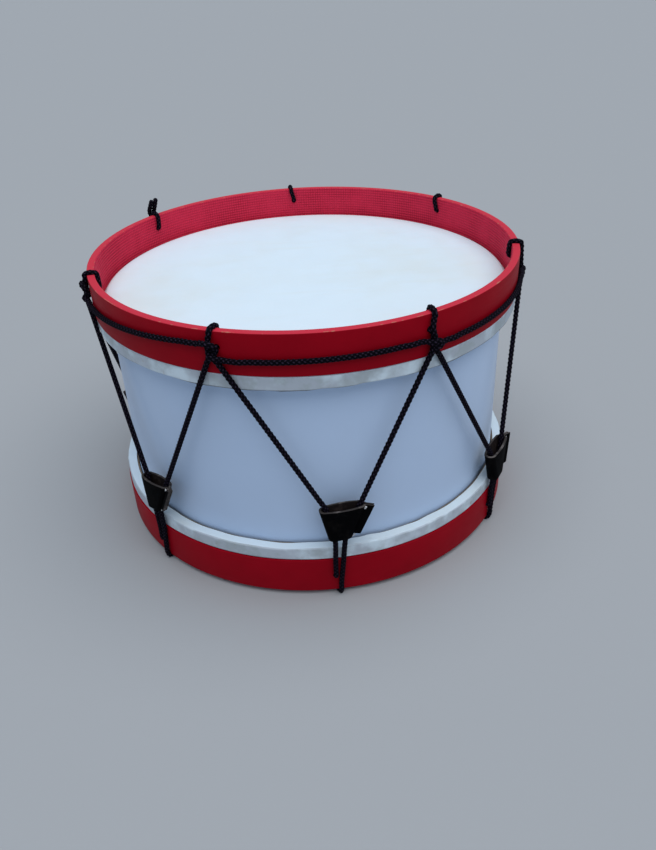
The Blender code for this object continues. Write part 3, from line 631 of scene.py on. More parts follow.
@dataclass(frozen=True)
class TugLeather(Finish):
    """Leather: dyed on its grain side, raw on its cut edges and its flesh side."""

    worn_colour: Colour = (0.006, 0.005, 0.005)
    grain_scale: float = 1100.0
    grain_depth: float = 0.10 * MM

    def build(self) -> bpy.types.Material:
        """Make one side of the leather."""
        material, wiring, shader, vector = self.start()
        patches = wiring.group("mottle", {"Vector": vector, "Scale": 70.0, "Contrast": 2.0}).outputs[0]
        grain = wiring.group("leather_grain", {"Vector": vector, "Scale": self.grain_scale}).outputs[0]
        lightened = wiring.math("MULTIPLY", wiring.ramp(patches, 0.45, 0.95), 0.7)
        wiring.feed(shader.inputs["Base Color"], wiring.blend(lightened, self.colour, self.worn_colour))
        dull = wiring.math("ADD", wiring.math("MULTIPLY", patches, 0.2), self.roughness - 0.1)
        wiring.feed(shader.inputs["Roughness"], dull)
        wiring.feed(shader.inputs["Normal"], wiring.bump(grain, self.grain_depth, 0.6))
        return material


@dataclass(frozen=True)
class WaxedThread(Finish):
    """White twisted thread with a little dirt in its twist."""

    soiled_colour: Colour = (0.42, 0.38, 0.32)

    def build(self) -> bpy.types.Material:
        """Make the thread."""
        material, wiring, shader, vector = self.start()
        dirt = wiring.ramp(wiring.noise(vector, 700, 4), 0.45, 0.8)
        wiring.feed(shader.inputs["Base Color"], wiring.blend(dirt, self.colour, self.soiled_colour))
        wiring.feed(shader.inputs["Normal"], wiring.bump(wiring.noise(vector, 2500, 2), 0.05 * MM, 0.6))
        return material


@dataclass(frozen=True)
class PlainWood(Finish):
    """Bare bent wood with its grain round the drum, its colours darkened as painted shade."""

    dark_colour: Colour = (0.12, 0.085, 0.055)

    def build(self) -> bpy.types.Material:
        """Make the wood."""
        material, wiring, shader, vector = self.start()
        radius, height = drum_coordinates(wiring, vector)
        section = wiring.add("CombineXYZ", {"X": radius, "Y": height}).outputs[0]
        bent = wiring.add("VectorMath", {0: section, 1: wiring.stretched(vector, (0.02, 0.02, 0))}).outputs[0]
        grain = wiring.noise(wiring.stretched(bent, (1, 1, 1)), 420, 6, 0.6)
        share = wiring.ramp(grain, 0.35, 0.7)
        wiring.feed(shader.inputs["Base Color"], wiring.blend(share, self.dark_colour, self.colour))
        wiring.feed(shader.inputs["Roughness"], wiring.math("ADD", wiring.math("MULTIPLY", grain, 0.3), 0.5))
        wiring.feed(shader.inputs["Normal"], wiring.bump(grain, 0.1 * MM, 0.5))
        return material


def dress(obj: bpy.types.Object, slot: Slot, *materials: bpy.types.Material) -> None:
    """Give a piece its materials."""
    for index, material in enumerate(materials):
        if index < len(obj.data.materials):
            obj.data.materials[index] = material
        else:
            obj.data.materials.append(material)


# The drum's round pieces


@dataclass
class Hoop:
    """One of the two outer hoops, with its lacing holes."""

    end: End
    finish: PaintedBoard
    hole_radius: float = 2.95 * MM
    free_round: float = 1.1 * MM
    back_round: float = 0.5 * MM
    corner_steps: int = 4

    def section(self) -> list[tuple[float, float]]:
        """Radii and heights round the hoop's wall."""
        free, back = self.end.height(RIM), self.end.height(RIM - HOOP_HEIGHT)
        corners = [
            (HOOP_RADIUS, back, self.back_round),
            (HOOP_RADIUS, free, self.free_round),
            (HOOP_INNER, free, self.free_round),
            (HOOP_INNER, back, self.back_round),
        ]
        return rounded(corners, self.corner_steps)

    def holes(self) -> list[Vector]:
        """The middles of the lacing holes, within the wall."""
        middle = HOOP_RADIUS - HOOP_WALL / 2
        if self.end is End.TOP:
            return [place(upper_azimuth(i), upper_hole_side(i), middle, UPPER_HOLE) for i in range(POINTS)]
        return [place(lower_azimuth(i), LOWER_HOLE_SIDE, middle, LOWER_HOLE) for i in range(POINTS)]

    def cut_hole(self, obj: bpy.types.Object, centre: Vector) -> None:
        """Drill one hole through the wall, square to it."""
        deselect_all()
        facing = Matrix.Rotation(math.atan2(centre.x, -centre.y), 4, "Z")
        rotation = (facing @ Matrix.Rotation(math.pi / 2, 4, "X")).to_euler()
        bpy.ops.mesh.primitive_cylinder_add(
            vertices=28,
            radius=self.hole_radius,
            depth=HOOP_WALL * 3,
            location=centre,
            rotation=rotation,
        )
        drill = bpy.context.object
        cut = obj.modifiers.new("hole", "BOOLEAN")
        cut.operation = "DIFFERENCE"
        cut.solver = "EXACT"
        cut.object = drill
        apply_modifiers(obj)
        bpy.data.objects.remove(drill, do_unlink=True)

    def build(self) -> bpy.types.Object:
        """Model the hoop and paint it."""
        obj = turn(f"{self.end.value}_board_hoop", self.section(), closed=True)
        for centre in self.holes():
            self.cut_hole(obj, centre)
        smooth(obj, 30)
        dress(obj, Slot.BOARD, self.finish.build())
        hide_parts(f"hoop_{self.end.value}")
        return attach(obj, DRUM)


@dataclass
class Head:
    """A skin stretched over the shell and lapped round its flesh hoop."""

    end: End
    material: bpy.types.Material
    thickness: float = 0.9 * MM
    creases: int = 70
    seed: int = 5
    collar_radius: float = 212.3 * MM
    hem_radius: float = 213.9 * MM
    rows: int = 15

    def section(self) -> list[tuple[float, float]]:
        """Radii and heights from the flat head out over the collar and round the lap."""
        collar = self.collar_radius
        top = [
            (collar - 3.0 * MM, HEAD_TOP),
            (collar - 1.4 * MM, HEAD_TOP - 0.10 * MM),
            (collar - 0.3 * MM, HEAD_TOP - 0.45 * MM),
            (collar + 0.7 * MM, HEAD_TOP - 1.1 * MM),
            (collar + 2.6 * MM, HEAD_TOP - 3.2 * MM),
            (collar + 4.0 * MM, LAP_TOP + 1.6 * MM),
            (collar + 4.7 * MM, LAP_TOP + 0.5 * MM),
            (collar + 5.9 * MM, LAP_TOP),
            (LAP_RADIUS - 4.0 * MM, LAP_TOP),
            (LAP_RADIUS - 1.0 * MM, LAP_TOP - 0.15 * MM),
        ]
        step = (LAP_TOP - LAP_BOTTOM - 2 * MM) / self.rows
        face = [(LAP_RADIUS, LAP_TOP - 1 * MM - step * row) for row in range(self.rows + 1)]
        under = [
            (LAP_RADIUS - 0.3 * MM, LAP_BOTTOM + 0.35 * MM),
            (LAP_RADIUS - 1.1 * MM, LAP_BOTTOM),
        ]
        inward = (LAP_RADIUS - 1.1 * MM - self.hem_radius) / 6
        under += [(LAP_RADIUS - 1.1 * MM - inward * i, LAP_BOTTOM) for i in range(1, 7)]
        return [(radius, self.end.height(height)) for radius, height in top + face + under]

    def wrinkle(self, places: np.ndarray) -> tuple[np.ndarray, np.ndarray]:
        """Crease the lap, deepest where the skin was drawn together by hand.

        Args:
            places: All of the mesh's vertices.

        Returns:
            The moved vertices, and how creased each of them is.
        """
        draw = np.random.RandomState(self.seed + len(self.end.value))
        radius = np.hypot(places[:, 0], places[:, 1])
        azimuth = np.arctan2(places[:, 0], -places[:, 1])
        level = places[:, 2] if self.end is End.TOP else RIM + HOOP_FOOT - places[:, 2]
        along = azimuth * LAP_RADIUS
        inward = np.clip(LAP_RADIUS - radius, 0, None)
        on_face = np.clip((LAP_TOP - level) / (3 * MM), 0, 1) * (inward < 2 * MM)
        on_hem = np.clip(inward / (2 * MM), 0, 1) * (level < LAP_BOTTOM + 1 * MM)
        lap = np.maximum(on_face, on_hem)
        down = (LAP_TOP - level) + np.where(on_hem > 0, inward, 0)
        dent = np.zeros(len(places))
        crease = np.zeros(len(places))
        span = math.tau * LAP_RADIUS
        for _ in range(self.creases):
            middle = draw.uniform(-span / 2, span / 2)
            lean = draw.uniform(-0.5, 0.5)
            width = draw.uniform(0.8, 2.6) * MM
            depth = draw.uniform(0.08, 0.42) * MM
            start = draw.uniform(-6, 12) * MM
            reach = draw.uniform(5, 16) * MM
            away = (along - middle - lean * down + span / 2) % span - span / 2
            fade = np.clip((down - start) / (2 * MM), 0, 1) * np.clip((start + reach - down) / (3 * MM), 0, 1)
            line = np.exp(-((away / width) ** 2)) * fade
            swell = np.exp(-(((away - 1.8 * width) / (1.6 * width)) ** 2)) * fade
            dent += depth * (0.6 * swell - line)
            crease = np.maximum(crease, line * depth / (0.42 * MM))
        for waves, amount in ((9, 0.16), (23, 0.12), (41, 0.07)):
            phase = draw.uniform(0, math.tau)
            dent += amount * MM * np.sin(azimuth * waves + phase + down * 60)
        dent = np.minimum(dent, 0.25 * MM) * lap
        hem = np.zeros(len(places))
        for waves, amount in ((6, 0.45), (13, 0.35), (29, 0.25)):
            hem += amount * MM * np.sin(azimuth * waves + draw.uniform(0, math.tau))
        for _ in range(14):
            middle = draw.uniform(-span / 2, span / 2)
            away = (along - middle + span / 2) % span - span / 2
            hem += draw.uniform(-1.3, 1.3) * MM * np.clip(1 - np.abs(away) / (11 * MM), 0, 1)
        low = np.clip((down - 8 * MM) / (6 * MM), 0, 1) * lap
        out = np.stack([np.sin(azimuth), -np.cos(azimuth), np.zeros(len(azimuth))], axis=1)
        moved = places + out * (dent * (on_hem < 0.5))[:, None]
        sink = hem * low - dent * (on_hem >= 0.5)
        moved[:, 2] += sink if self.end is End.TOP else -sink
        return moved, crease * lap

    def fill_flat(self, obj: bpy.types.Object) -> None:
        """Close the flat of the head with a few rings of faces."""
        radius = np.hypot(*vertex_array(obj)[:, :2].T)
        select_vertices(obj, radius < self.collar_radius - 2.9 * MM)
        bpy.ops.mesh.edge_face_add()
        for share in (3, 30, 50, 60):
            bpy.ops.mesh.inset(thickness=share * MM)
        bpy.ops.mesh.poke()
        bpy.ops.object.mode_set(mode="OBJECT")
        obj.data.update()

    def build(self) -> bpy.types.Object:
        """Model the skin and dress it."""
        obj = turn(f"{self.end.value}_head_skin", self.section(), closed=False)
        self.fill_flat(obj)
        face_outwards(obj)
        moved, crease = self.wrinkle(vertex_array(obj))
        move_vertices(obj, moved)
        attribute = obj.data.attributes.new("crease", "FLOAT", "POINT")
        attribute.data.foreach_set("value", crease.astype(np.float32))
        wall = obj.modifiers.new("wall", "SOLIDIFY")
        wall.thickness = self.thickness
        wall.offset = -1
        apply_modifiers(obj)
        smooth(obj, 60)
        dress(obj, Slot.HIDE, self.material)
        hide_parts(f"skin_{self.end.value}")
        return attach(obj, DRUM)


@dataclass
class Shell:
    """The drum's wall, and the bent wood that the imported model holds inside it."""

    finish: SatinShell
    wood: PlainWood
    wall: float = 4 * MM
    edge_round: float = 1.3 * MM

    def build(self) -> bpy.types.Object:
        """Model the shell, and dress it and the wooden rings."""
        high = HEAD_TOP - 1.3 * MM
        low = RIM + HOOP_FOOT - high
        inner = SHELL_RADIUS - self.wall
        corners = [
            (SHELL_RADIUS, low, self.edge_round),
            (SHELL_RADIUS, high, self.edge_round),
            (inner, high, 0.3 * MM),
            (inner, low, 0.3 * MM),
        ]
        obj = turn("laminate_shell", rounded(corners, 3), closed=True)
        smooth(obj, 40)
        dress(obj, Slot.SHELL, self.finish.build())
        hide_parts("shell")
        material = self.wood.build()
        for node in ("shell_ring_top", "shell_ring_bottom", "flesh_hoop_top", "flesh_hoop_bottom"):
            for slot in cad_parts[node].material_slots:
                slot.material = material
        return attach(obj, DRUM)


# Where the cords lie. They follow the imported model's routes, drawn tighter at the upper hoop,
# because braid gives where it presses on braid

CORD_RADIUS = CORD / 2
OUTER_LAY = HOOP_RADIUS + 0.3 * MM + CORD_RADIUS
INNER_LAY = HOOP_INNER * math.cos(math.pi / 52) - 0.5 * MM - CORD_RADIUS
LOWER_LAY = OUTER_LAY + 0.2 * MM
HOLE_BEND = 3.2 * MM
CORNER_CUT = 1 - math.sqrt(0.5)
LEG_END = 0.06
LOWER_FIRST = math.radians(4.3)
LACING_PITCH = math.tau / POINTS
UPPER_PAIR_HALF = 2.75 * MM
LOWER_HOLE_SIDE = -3.9 * MM
FOOT_SIDE = 1 * MM
FOOT_TOP = HOOP_FOOT + 10 * MM
TUG_BASE = 77.5 * MM
TUG_SLIPS = (0, 13.5 * MM, 0, 0, 0, 8 * MM, 4 * MM)
TUG_DRIFT = (0, 5 * MM, 0, 0, 0, -34 * MM, 0)
TUG_HEIGHT = 33 * MM
TUG_JOIN = 87 * MM
TUG_LAY = OUTER_LAY + 1.5 * MM
TUG_LEAN = 2.5 * MM
TUG_BASE_SIDE = 1.8 * MM
TUG_BASE_HALF = 5.5 * MM
TUG_MOUTH_SIDE = 5 * MM
TUG_MOUTH_HALF = 16.3 * MM
TUG_MOUTH_SLOPE = 0.085
TIED_POINT = 4
GIRDLE_LAP_POINT = 1
GIRDLE_START_DEPTH = 20 * MM
GIRDLE_END = 16 * MM
GIRDLE_REACH = 22 * MM


@dataclass(frozen=True)
class Crossing:
    """The cords at one crossing of the upper hoop, in mm.

    Depths are below the rim. Sides are from the middle of the two strands, and positive
    towards the strand that goes through the hole. The knot is how far right the hitch sits.
    """

    drift: float
    arrive: float
    front: float
    back: float
    cross: float
    leave: float
    split: float
    rim: float = -1.0
    climb: float = -2.0
    inner: float = 0.0
    over: float = 0.0
    leg: float = -2.3
    tuck: float = 0.0
    knot: float = 0.0
    hole_on_left: bool = False

    @property
    def hand(self) -> int:
        """1 where the hole is on the right, seen from outside, and -1 where it's on the left."""
        return -1 if self.hole_on_left else 1


CROSSINGS = (
    Crossing(-7.5, 23.0, 24.8, 28.4, 30.2, 28.5, 33.5, -0.6, 2.6, -3.5, 2.0, -2.0, 1.6, 0.0, True),
    Crossing(-2.5, 26.5, 27.5, 31.0, 33.0, 33.0, 36.5),
    Crossing(-9.0, 22.0, 23.0, 26.8, 28.6, 27.5, 32.0, hole_on_left=True),
    Crossing(-4.5, 21.0, 22.0, 25.8, 27.6, 26.5, 31.0, hole_on_left=True),
    Crossing(-11.0, 20.0, 21.0, 24.8, 26.6, 26.0, 30.5, inner=2.0),
    Crossing(-5.0, 12.5, 8.0, 20.0, 22.0, 24.0, 25.0),
    Crossing(2.0, 12.0, 9.8, 20.0, 22.3, 25.5, 23.0, -0.6, -3.0, 1.0, knot=-3.0),
)


def lower_azimuth(point: int) -> float:
    """Azimuth of a tug and of the cord's crossing under the lower hoop."""
    return LOWER_FIRST + point * LACING_PITCH + TUG_DRIFT[point % POINTS] / HOOP_RADIUS


def tug_base(point: int) -> float:
    """Height of a tug's base above the floor."""
    return TUG_BASE - TUG_SLIPS[point % POINTS]


def tug_section(rise: float) -> tuple[float, float, float]:
    """A tug's strands at a share of its height.

    Args:
        rise: 0 at the base and 1 at the mouth.

    Returns:
        The side of the strands' middle, how far in it leans, and half their spacing.
    """
    middle = TUG_BASE_SIDE + rise * (TUG_MOUTH_SIDE - TUG_BASE_SIDE)
    half = TUG_BASE_HALF + rise * (TUG_MOUTH_HALF - TUG_BASE_HALF)
    return middle, rise * TUG_LEAN, half


def upper_azimuth(point: int) -> float:
    """Azimuth of a crossing over the upper hoop."""
    drift = CROSSINGS[point % POINTS].drift * MM
    return LOWER_FIRST + (point + 0.5) * LACING_PITCH + drift / HOOP_RADIUS


def upper_hole_side(point: int) -> float:
    """On which side of its crossing the cord goes through the upper hoop."""
    return CROSSINGS[point % POINTS].hand * UPPER_PAIR_HALF


def spot(point: int, side: float, out: float, depth: float) -> Vector:
    """A place at a crossing, in mm: right of its middle, out from the hoop, below the rim."""
    return place(upper_azimuth(point), side * MM, HOOP_RADIUS + out * MM, RIM - depth * MM)


def smooth_route(points: list[Vector], steps: int = 20) -> np.ndarray:
    """Run a smooth centripetal curve through a route's points.

    Args:
        points: The route's points.
        steps: How many points each stretch gets.

    Returns:
        The curve's points, one row each.
    """
    ends = [2 * points[0] - points[1], *points, 2 * points[-1] - points[-2]]
    route = []
    for i in range(len(points) - 1):
        four = ends[i : i + 4]
        knots = [0.0]
        for first, second in zip(four, four[1:]):
            knots.append(knots[-1] + (second - first).length ** 0.5)
        for step in range(steps):
            t = knots[1] + step / steps * (knots[2] - knots[1])
            once = [
                four[j].lerp(four[j + 1], (t - knots[j]) / (knots[j + 1] - knots[j]))
                for j in range(3)
            ]
            twice = [
                once[j].lerp(once[j + 1], (t - knots[j]) / (knots[j + 2] - knots[j]))
                for j in range(2)
            ]
            route.append(twice[0].lerp(twice[1], (t - knots[1]) / (knots[2] - knots[1])))
    return np.array([*route, points[-1]])


@dataclass(frozen=True)
class Line:
    """A cord's centreline, sampled evenly, with a frame at each sample."""

    places: np.ndarray
    normals: np.ndarray
    tangents: np.ndarray
    along: np.ndarray

    @classmethod
    def on(cls, route: np.ndarray, step: float) -> "Line":
        """Sample a route evenly and carry a frame along it without twist.

        Args:
            route: The route's points, one row each.
            step: The distance between samples.

        Returns:
            The sampled line.
        """
        steps = np.linalg.norm(np.diff(route, axis=0), axis=1)
        route = route[np.concatenate([[True], steps > 1e-9])]
        measured = np.concatenate([[0], np.cumsum(steps[steps > 1e-9])])
        count = max(3, round(measured[-1] / step) + 1)
        along = np.linspace(0, measured[-1], count)
        places = np.stack([np.interp(along, measured, route[:, k]) for k in range(3)], axis=1)
        tangents = np.gradient(places, axis=0)
        tangents /= np.linalg.norm(tangents, axis=1)[:, None]
        normal = np.cross(tangents[0], (0.3, 0.5, 0.81))
        normals = np.empty_like(places)
        for i, tangent in enumerate(tangents):
            normal = normal - tangent * (normal @ tangent)
            normal /= np.linalg.norm(normal)
            normals[i] = normal
        return cls(places, normals, tangents, along)

    def part(self, first: int, last: int) -> "Line":
        """The stretch between two samples, both kept."""
        cut = slice(first, last + 1)
        return Line(self.places[cut], self.normals[cut], self.tangents[cut], self.along[cut])

    @property
    def length(self) -> float:
        """The line's length."""
        return float(self.along[-1] - self.along[0])


def press_flat(places: np.ndarray) -> None:
    """Keep a cord's vertices outside the upper hoop and the lap below it."""
    radius = np.hypot(places[:, 0], places[:, 1])
    bite, gap = 1.8 * MM, 0.05 * MM
    on_rim = (places[:, 2] > RIM - bite) & (radius > HOOP_INNER + bite) & (radius < HOOP_RADIUS - bite)
    places[on_rim, 2] = np.maximum(places[on_rim, 2], RIM + gap)
    high = (places[:, 2] < RIM) & (places[:, 2] > LAP_BOTTOM)
    on_hoop = places[:, 2] > RIM - HOOP_HEIGHT - 1 * MM
    least = np.where(on_hoop, HOOP_RADIUS + gap, LAP_RADIUS + 0.4 * MM)
    outside = high & (radius > HOOP_RADIUS - bite) & (radius < least)
    places[outside, :2] *= (least[outside] / radius[outside])[:, None]
    inside = high & on_hoop & (radius < HOOP_INNER + bite) & (radius > HOOP_INNER - gap)
    places[inside, :2] *= ((HOOP_INNER - gap) / radius[inside])[:, None]


@dataclass(frozen=True)
class Braid:
    """A round braid: two sets of strands that wind opposite ways over and under each other."""

    material: bpy.types.Material
    diameter: float = CORD + 0.6 * MM
    strands: int = 4
    lay: float = 4.6 * MM
    relief: float = 1.05 * MM
    dip: float = 0.5
    step: float = 0.5 * MM
    sides: int = 24
    dome_rings: int = 4

    def crowns(self, turns: np.ndarray, along: np.ndarray) -> tuple[np.ndarray, np.ndarray]:
        """How high the braid's surface stands, and which set of strands is on top there."""
        right = self.strands * turns + along / self.lay
        left = self.strands * turns - along / self.lay
        i, j = np.round(right), np.round(left)
        over_right = self.dip * np.cos(np.pi * (left + i)) + np.cos(np.pi * (right - i))
        over_left = -self.dip * np.cos(np.pi * (right + j)) + np.cos(np.pi * (left - j))
        crown = np.maximum(over_right, over_left) / (1 + self.dip)
        return crown, np.sign(over_right - over_left)

    def tube(self, line: Line, domed: tuple[bool, bool]) -> tuple[np.ndarray, list, np.ndarray]:
        """Lay the braid along a line.

        Args:
            line: The centreline.
            domed: Whether its start and its end are rounded, as a sealed end is.

        Returns:
            Its vertices, its faces, and a row of turn, length, crown and hand for each vertex.
        """
        rings = np.arange(len(line.along))
        scale, push = np.ones(len(rings)), np.zeros(len(rings))
        for at_end, wanted in enumerate(domed):
            if not wanted:
                continue
            angles = np.linspace(math.pi / 2.15, 0, self.dome_rings, endpoint=False)
            extra = np.full(self.dome_rings, len(line.along) - 1 if at_end else 0)
            if at_end:
                rings = np.concatenate([rings, extra])
                scale = np.concatenate([scale, np.cos(angles[::-1])])
                push = np.concatenate([push, np.sin(angles[::-1]) * self.diameter * 0.4])
            else:
                rings = np.concatenate([extra, rings])
                scale = np.concatenate([np.cos(angles), scale])
                push = np.concatenate([-np.sin(angles) * self.diameter * 0.4, push])
        turns = np.arange(self.sides) / self.sides
        along = line.along[rings] + push
        crown, hand = self.crowns(turns[None, :], along[:, None])
        radius = (self.diameter / 2 - self.relief * (1 - crown)) * scale[:, None]
        normals, tangents = line.normals[rings], line.tangents[rings]
        sideways = np.cross(tangents, normals)
        angle = turns * math.tau
        out = (
            normals[:, None, :] * np.cos(angle)[None, :, None]
            + sideways[:, None, :] * np.sin(angle)[None, :, None]
        )
        centres = line.places[rings] + tangents * push[:, None]
        places = centres[:, None, :] + out * radius[:, :, None]
        count = len(rings)
        grid = np.arange(count * self.sides).reshape(count, self.sides)
        after = np.roll(grid, -1, axis=1)
        quads = np.stack([grid[:-1], after[:-1], after[1:], grid[1:]], axis=2).reshape(-1, 4)
        faces = [*quads.tolist(), grid[0][::-1].tolist(), grid[-1].tolist()]
        rows = np.stack(
            [
                np.broadcast_to(turns[None, :], crown.shape),
                np.broadcast_to(along[:, None], crown.shape),
                crown,
                hand,
            ],
            axis=2,
        )
        return places.reshape(-1, 3), faces, rows.reshape(-1, 4)

    def build(self, name: str, parts: list[tuple[Line, tuple[bool, bool]]]) -> bpy.types.Object:
        """Make one piece of braided cord from one or more stretches.

        Args:
            name: The piece's name.
            parts: Each stretch's line, and whether its two ends are rounded.

        Returns:
            The piece, with its braid's own coordinates and attributes.
        """
        places, faces, rows = [], [], []
        shift = 0
        for line, domed in parts:
            some, their_faces, their_rows = self.tube(line, domed)
            places.append(some)
            rows.append(their_rows)
            faces += [[index + shift for index in face] for face in their_faces]
            shift += len(some)
        stacked, facts = np.concatenate(places), np.concatenate(rows)
        stacked[:, 2] = np.maximum(stacked[:, 2], 0)
        press_flat(stacked)
        mesh = bpy.data.meshes.new(name)
        mesh.from_pydata(stacked.tolist(), [], faces)
        obj = bpy.data.objects.new(name, mesh)
        bpy.context.scene.collection.objects.link(obj)
        for column, label in ((2, "crown"), (3, "hand")):
            attribute = mesh.attributes.new(label, "FLOAT", "POINT")
            attribute.data.foreach_set("value", facts[:, column].astype(np.float32))
        corners = np.zeros(len(mesh.loops), dtype=np.int32)
        mesh.loops.foreach_get("vertex_index", corners)
        uv = facts[corners][:, :2]
        sizes = np.zeros(len(mesh.polygons), dtype=np.int32)
        mesh.polygons.foreach_get("loop_total", sizes)
        quads = (np.cumsum(sizes) - sizes)[sizes == 4][:, None] + np.arange(4)
        turns = uv[quads, 0]
        at_seam = (turns.max(axis=1) > 0.9)[:, None] & (turns < 0.5)
        uv[quads[at_seam], 0] = 1
        lay = mesh.uv_layers.new(name="lay")
        lay.data.foreach_set("uv", uv.astype(np.float32).ravel())
        smooth(obj, 70)
        dress(obj, Slot.CORD, self.material)
        return obj


@dataclass
class Lacing:
    """The long cord between the hoops: a leg pair and a lower loop for each tug."""

    braid: Braid
    held_half: float = 2.3
    lift: float = 4.1

    def upper_crossing(self, point: int) -> list[Vector]:
        """The cord's way up over the rim, down inside and out through its hole."""
        at = CROSSINGS[point % POINTS]
        half, lift = self.held_half, self.lift
        pair = max(at.back, 19.0)
        way = [
            (-half, lift, at.split),
            (-half, lift - 0.2, pair),
            (at.climb, 2.7 + at.over, 12.5),
            ((at.climb + at.rim) / 2, 2.4 + at.over / 3, 6.5),
            (at.rim, 2.2, 2.2),
            (at.rim, 1.7, -0.4),
            (at.rim * 0.8 + at.inner * 0.2, 0.0, -1.4),
            (at.rim * 0.5 + at.inner * 0.5, -3.6, -2.0),
            (at.rim * 0.2 + at.inner * 0.8, -7.3, -1.4),
            (at.inner, -9.1, -0.4),
            (at.inner, -9.8, 2.4),
            (at.inner * 0.4 + 1.6, -9.9, 7.5),
            (2.75, -9.9, 11.4),
            (2.75, -9.1, 13.8),
            (2.75, -6.8, 14.7),
            (2.75, -1.4, 14.8),
            (2.6 - at.tuck / 4, 1.1, 15.5),
            (2.4 - at.tuck, lift - 1.6, 17.6),
            (half - at.tuck / 2, lift - 0.5, pair + 1),
            (-at.leg, lift - 0.5 * (half + at.leg), at.split),
        ]
        if at.hole_on_left:
            way = [(-side, out, depth) for side, out, depth in reversed(way)]
        return [spot(point, side + at.knot / 2, *rest) for side, *rest in way]

    def tug_strand(self, point: int, hand: int) -> list[Vector]:
        """A strand's way from the lower hoop up through a tug, right (1) or left (-1)."""
        base = tug_base(point)
        start, low = (FOOT_SIDE, FOOT_TOP) if hand > 0 else (LOWER_HOLE_SIDE, LOWER_HOLE)
        way = []
        for height in (LOWER_HOLE + HOLE_BEND + 2 * MM, LOWER_HOLE + 18 * MM):
            share = (height - low) / (base - low)
            side = start + share * (TUG_BASE_SIDE + hand * TUG_BASE_HALF - start)
            way.append((side, LOWER_LAY, height))
        for rise in (0, 0.3, 1):
            middle, lean, half = tug_section(rise)
            way.append((middle + hand * half, TUG_LAY - lean, base + rise * TUG_HEIGHT))
        return [place(lower_azimuth(point), *step) for step in way]

    def lower_hole_way(self, azimuth: float) -> list[Vector]:
        """A strand's way through its lower hole and down the inner face."""
        side, bend = LOWER_HOLE_SIDE, HOLE_BEND * CORNER_CUT
        way = [
            (side, LOWER_LAY, LOWER_HOLE + HOLE_BEND),
            (side, LOWER_LAY - bend, LOWER_HOLE + bend),
            (side, LOWER_LAY - HOLE_BEND, LOWER_HOLE),
            (side, INNER_LAY + HOLE_BEND, LOWER_HOLE),
            (side, INNER_LAY + bend, LOWER_HOLE - bend),
            (side, INNER_LAY, LOWER_HOLE - HOLE_BEND),
        ]
        return [place(azimuth, *step) for step in way]

    def foot(self, azimuth: float) -> list[Vector]:
        """The bight under the lower hoop."""
        under, corner = CORD_RADIUS - CORD / 10, HOOP_FOOT - 2.1 * MM
        across = FOOT_SIDE - LOWER_HOLE_SIDE
        way = [
            (0, INNER_LAY, FOOT_TOP - CORD),
            (0.25, HOOP_INNER - 2.1 * MM, corner),
            (0.4, HOOP_INNER + 1 * MM, under),
            (0.8, HOOP_RADIUS - 1.6 * MM, under),
            (0.95, HOOP_RADIUS + 1.1 * MM, corner + 0.9 * MM),
            (1, LOWER_LAY, FOOT_TOP - CORD),
            (1, LOWER_LAY, FOOT_TOP),
        ]
        return [place(azimuth, LOWER_HOLE_SIDE + share * across, *step) for share, *step in way]

    def whole_route(self) -> list[Vector]:
        """The whole cord, from the foot of the first tug round to the same place."""
        route = []
        for point in range(POINTS):
            rising, falling = self.tug_strand(point, 1), self.tug_strand(point + 1, -1)[::-1]
            crossing = self.upper_crossing(point)
            route += self.foot(lower_azimuth(point)) if point else []
            route += rising
            route += [rising[-1].lerp(crossing[0], share) for share in (LEG_END, 1 - LEG_END)]
            route += crossing
            route += [crossing[-1].lerp(falling[0], share) for share in (LEG_END, 1 - LEG_END)]
            route += falling
            route += self.lower_hole_way(lower_azimuth(point + 1))
        return route + self.foot(lower_azimuth(0)) + self.tug_strand(0, 1)

    def build(self) -> list[bpy.types.Object]:
        """Lay the cord and part it where the tugs and the girdle's hitches hide its joins."""
        line = Line.on(smooth_route(self.whole_route()), self.braid.step)
        heights = line.places[:, 2]
        in_tugs = np.nonzero(np.diff(np.sign(heights - TUG_JOIN)))[0]
        LOG.info("The lacing cord is %.2f m long", line.length)
        pieces = []
        rises, falls = [], []
        for point in range(POINTS):
            first, last = in_tugs[2 * point], in_tugs[2 * point + 1]
            join = RIM - CROSSINGS[point].back * MM
            high = np.nonzero(heights[first:last] > join)[0] + first
            rises.append(line.part(first, high[0]))
            falls.append(line.part(high[-1], last))
            loop = self.braid.build(f"rim_loop_{point + 1}", [(line.part(high[0], high[-1]), (False, False))])
            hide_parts(f"cord_run_{point + 1}")
            pieces.append(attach(loop, DRUM))
        for point in range(POINTS):
            tug = point + 1
            legs = [(rises[point], (False, False)), (falls[point - 1], (False, False))]
            pair = self.braid.build(f"leg_pair_{tug}", legs)
            # Reaching past the mouth and the hitch keeps the strands nearly straight as the tug slides
            pieces.append(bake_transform(pair))
            if point:
                first, last = in_tugs[2 * point - 1], in_tugs[2 * point]
            else:
                first, last = in_tugs[2 * POINTS - 1], in_tugs[2 * POINTS]
            loop = self.braid.build(f"lower_loop_{tug}", [(line.part(first, last), (False, False))])
            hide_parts(f"cord_foot_{tug}")
            pieces.append(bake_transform(loop))
        return pieces


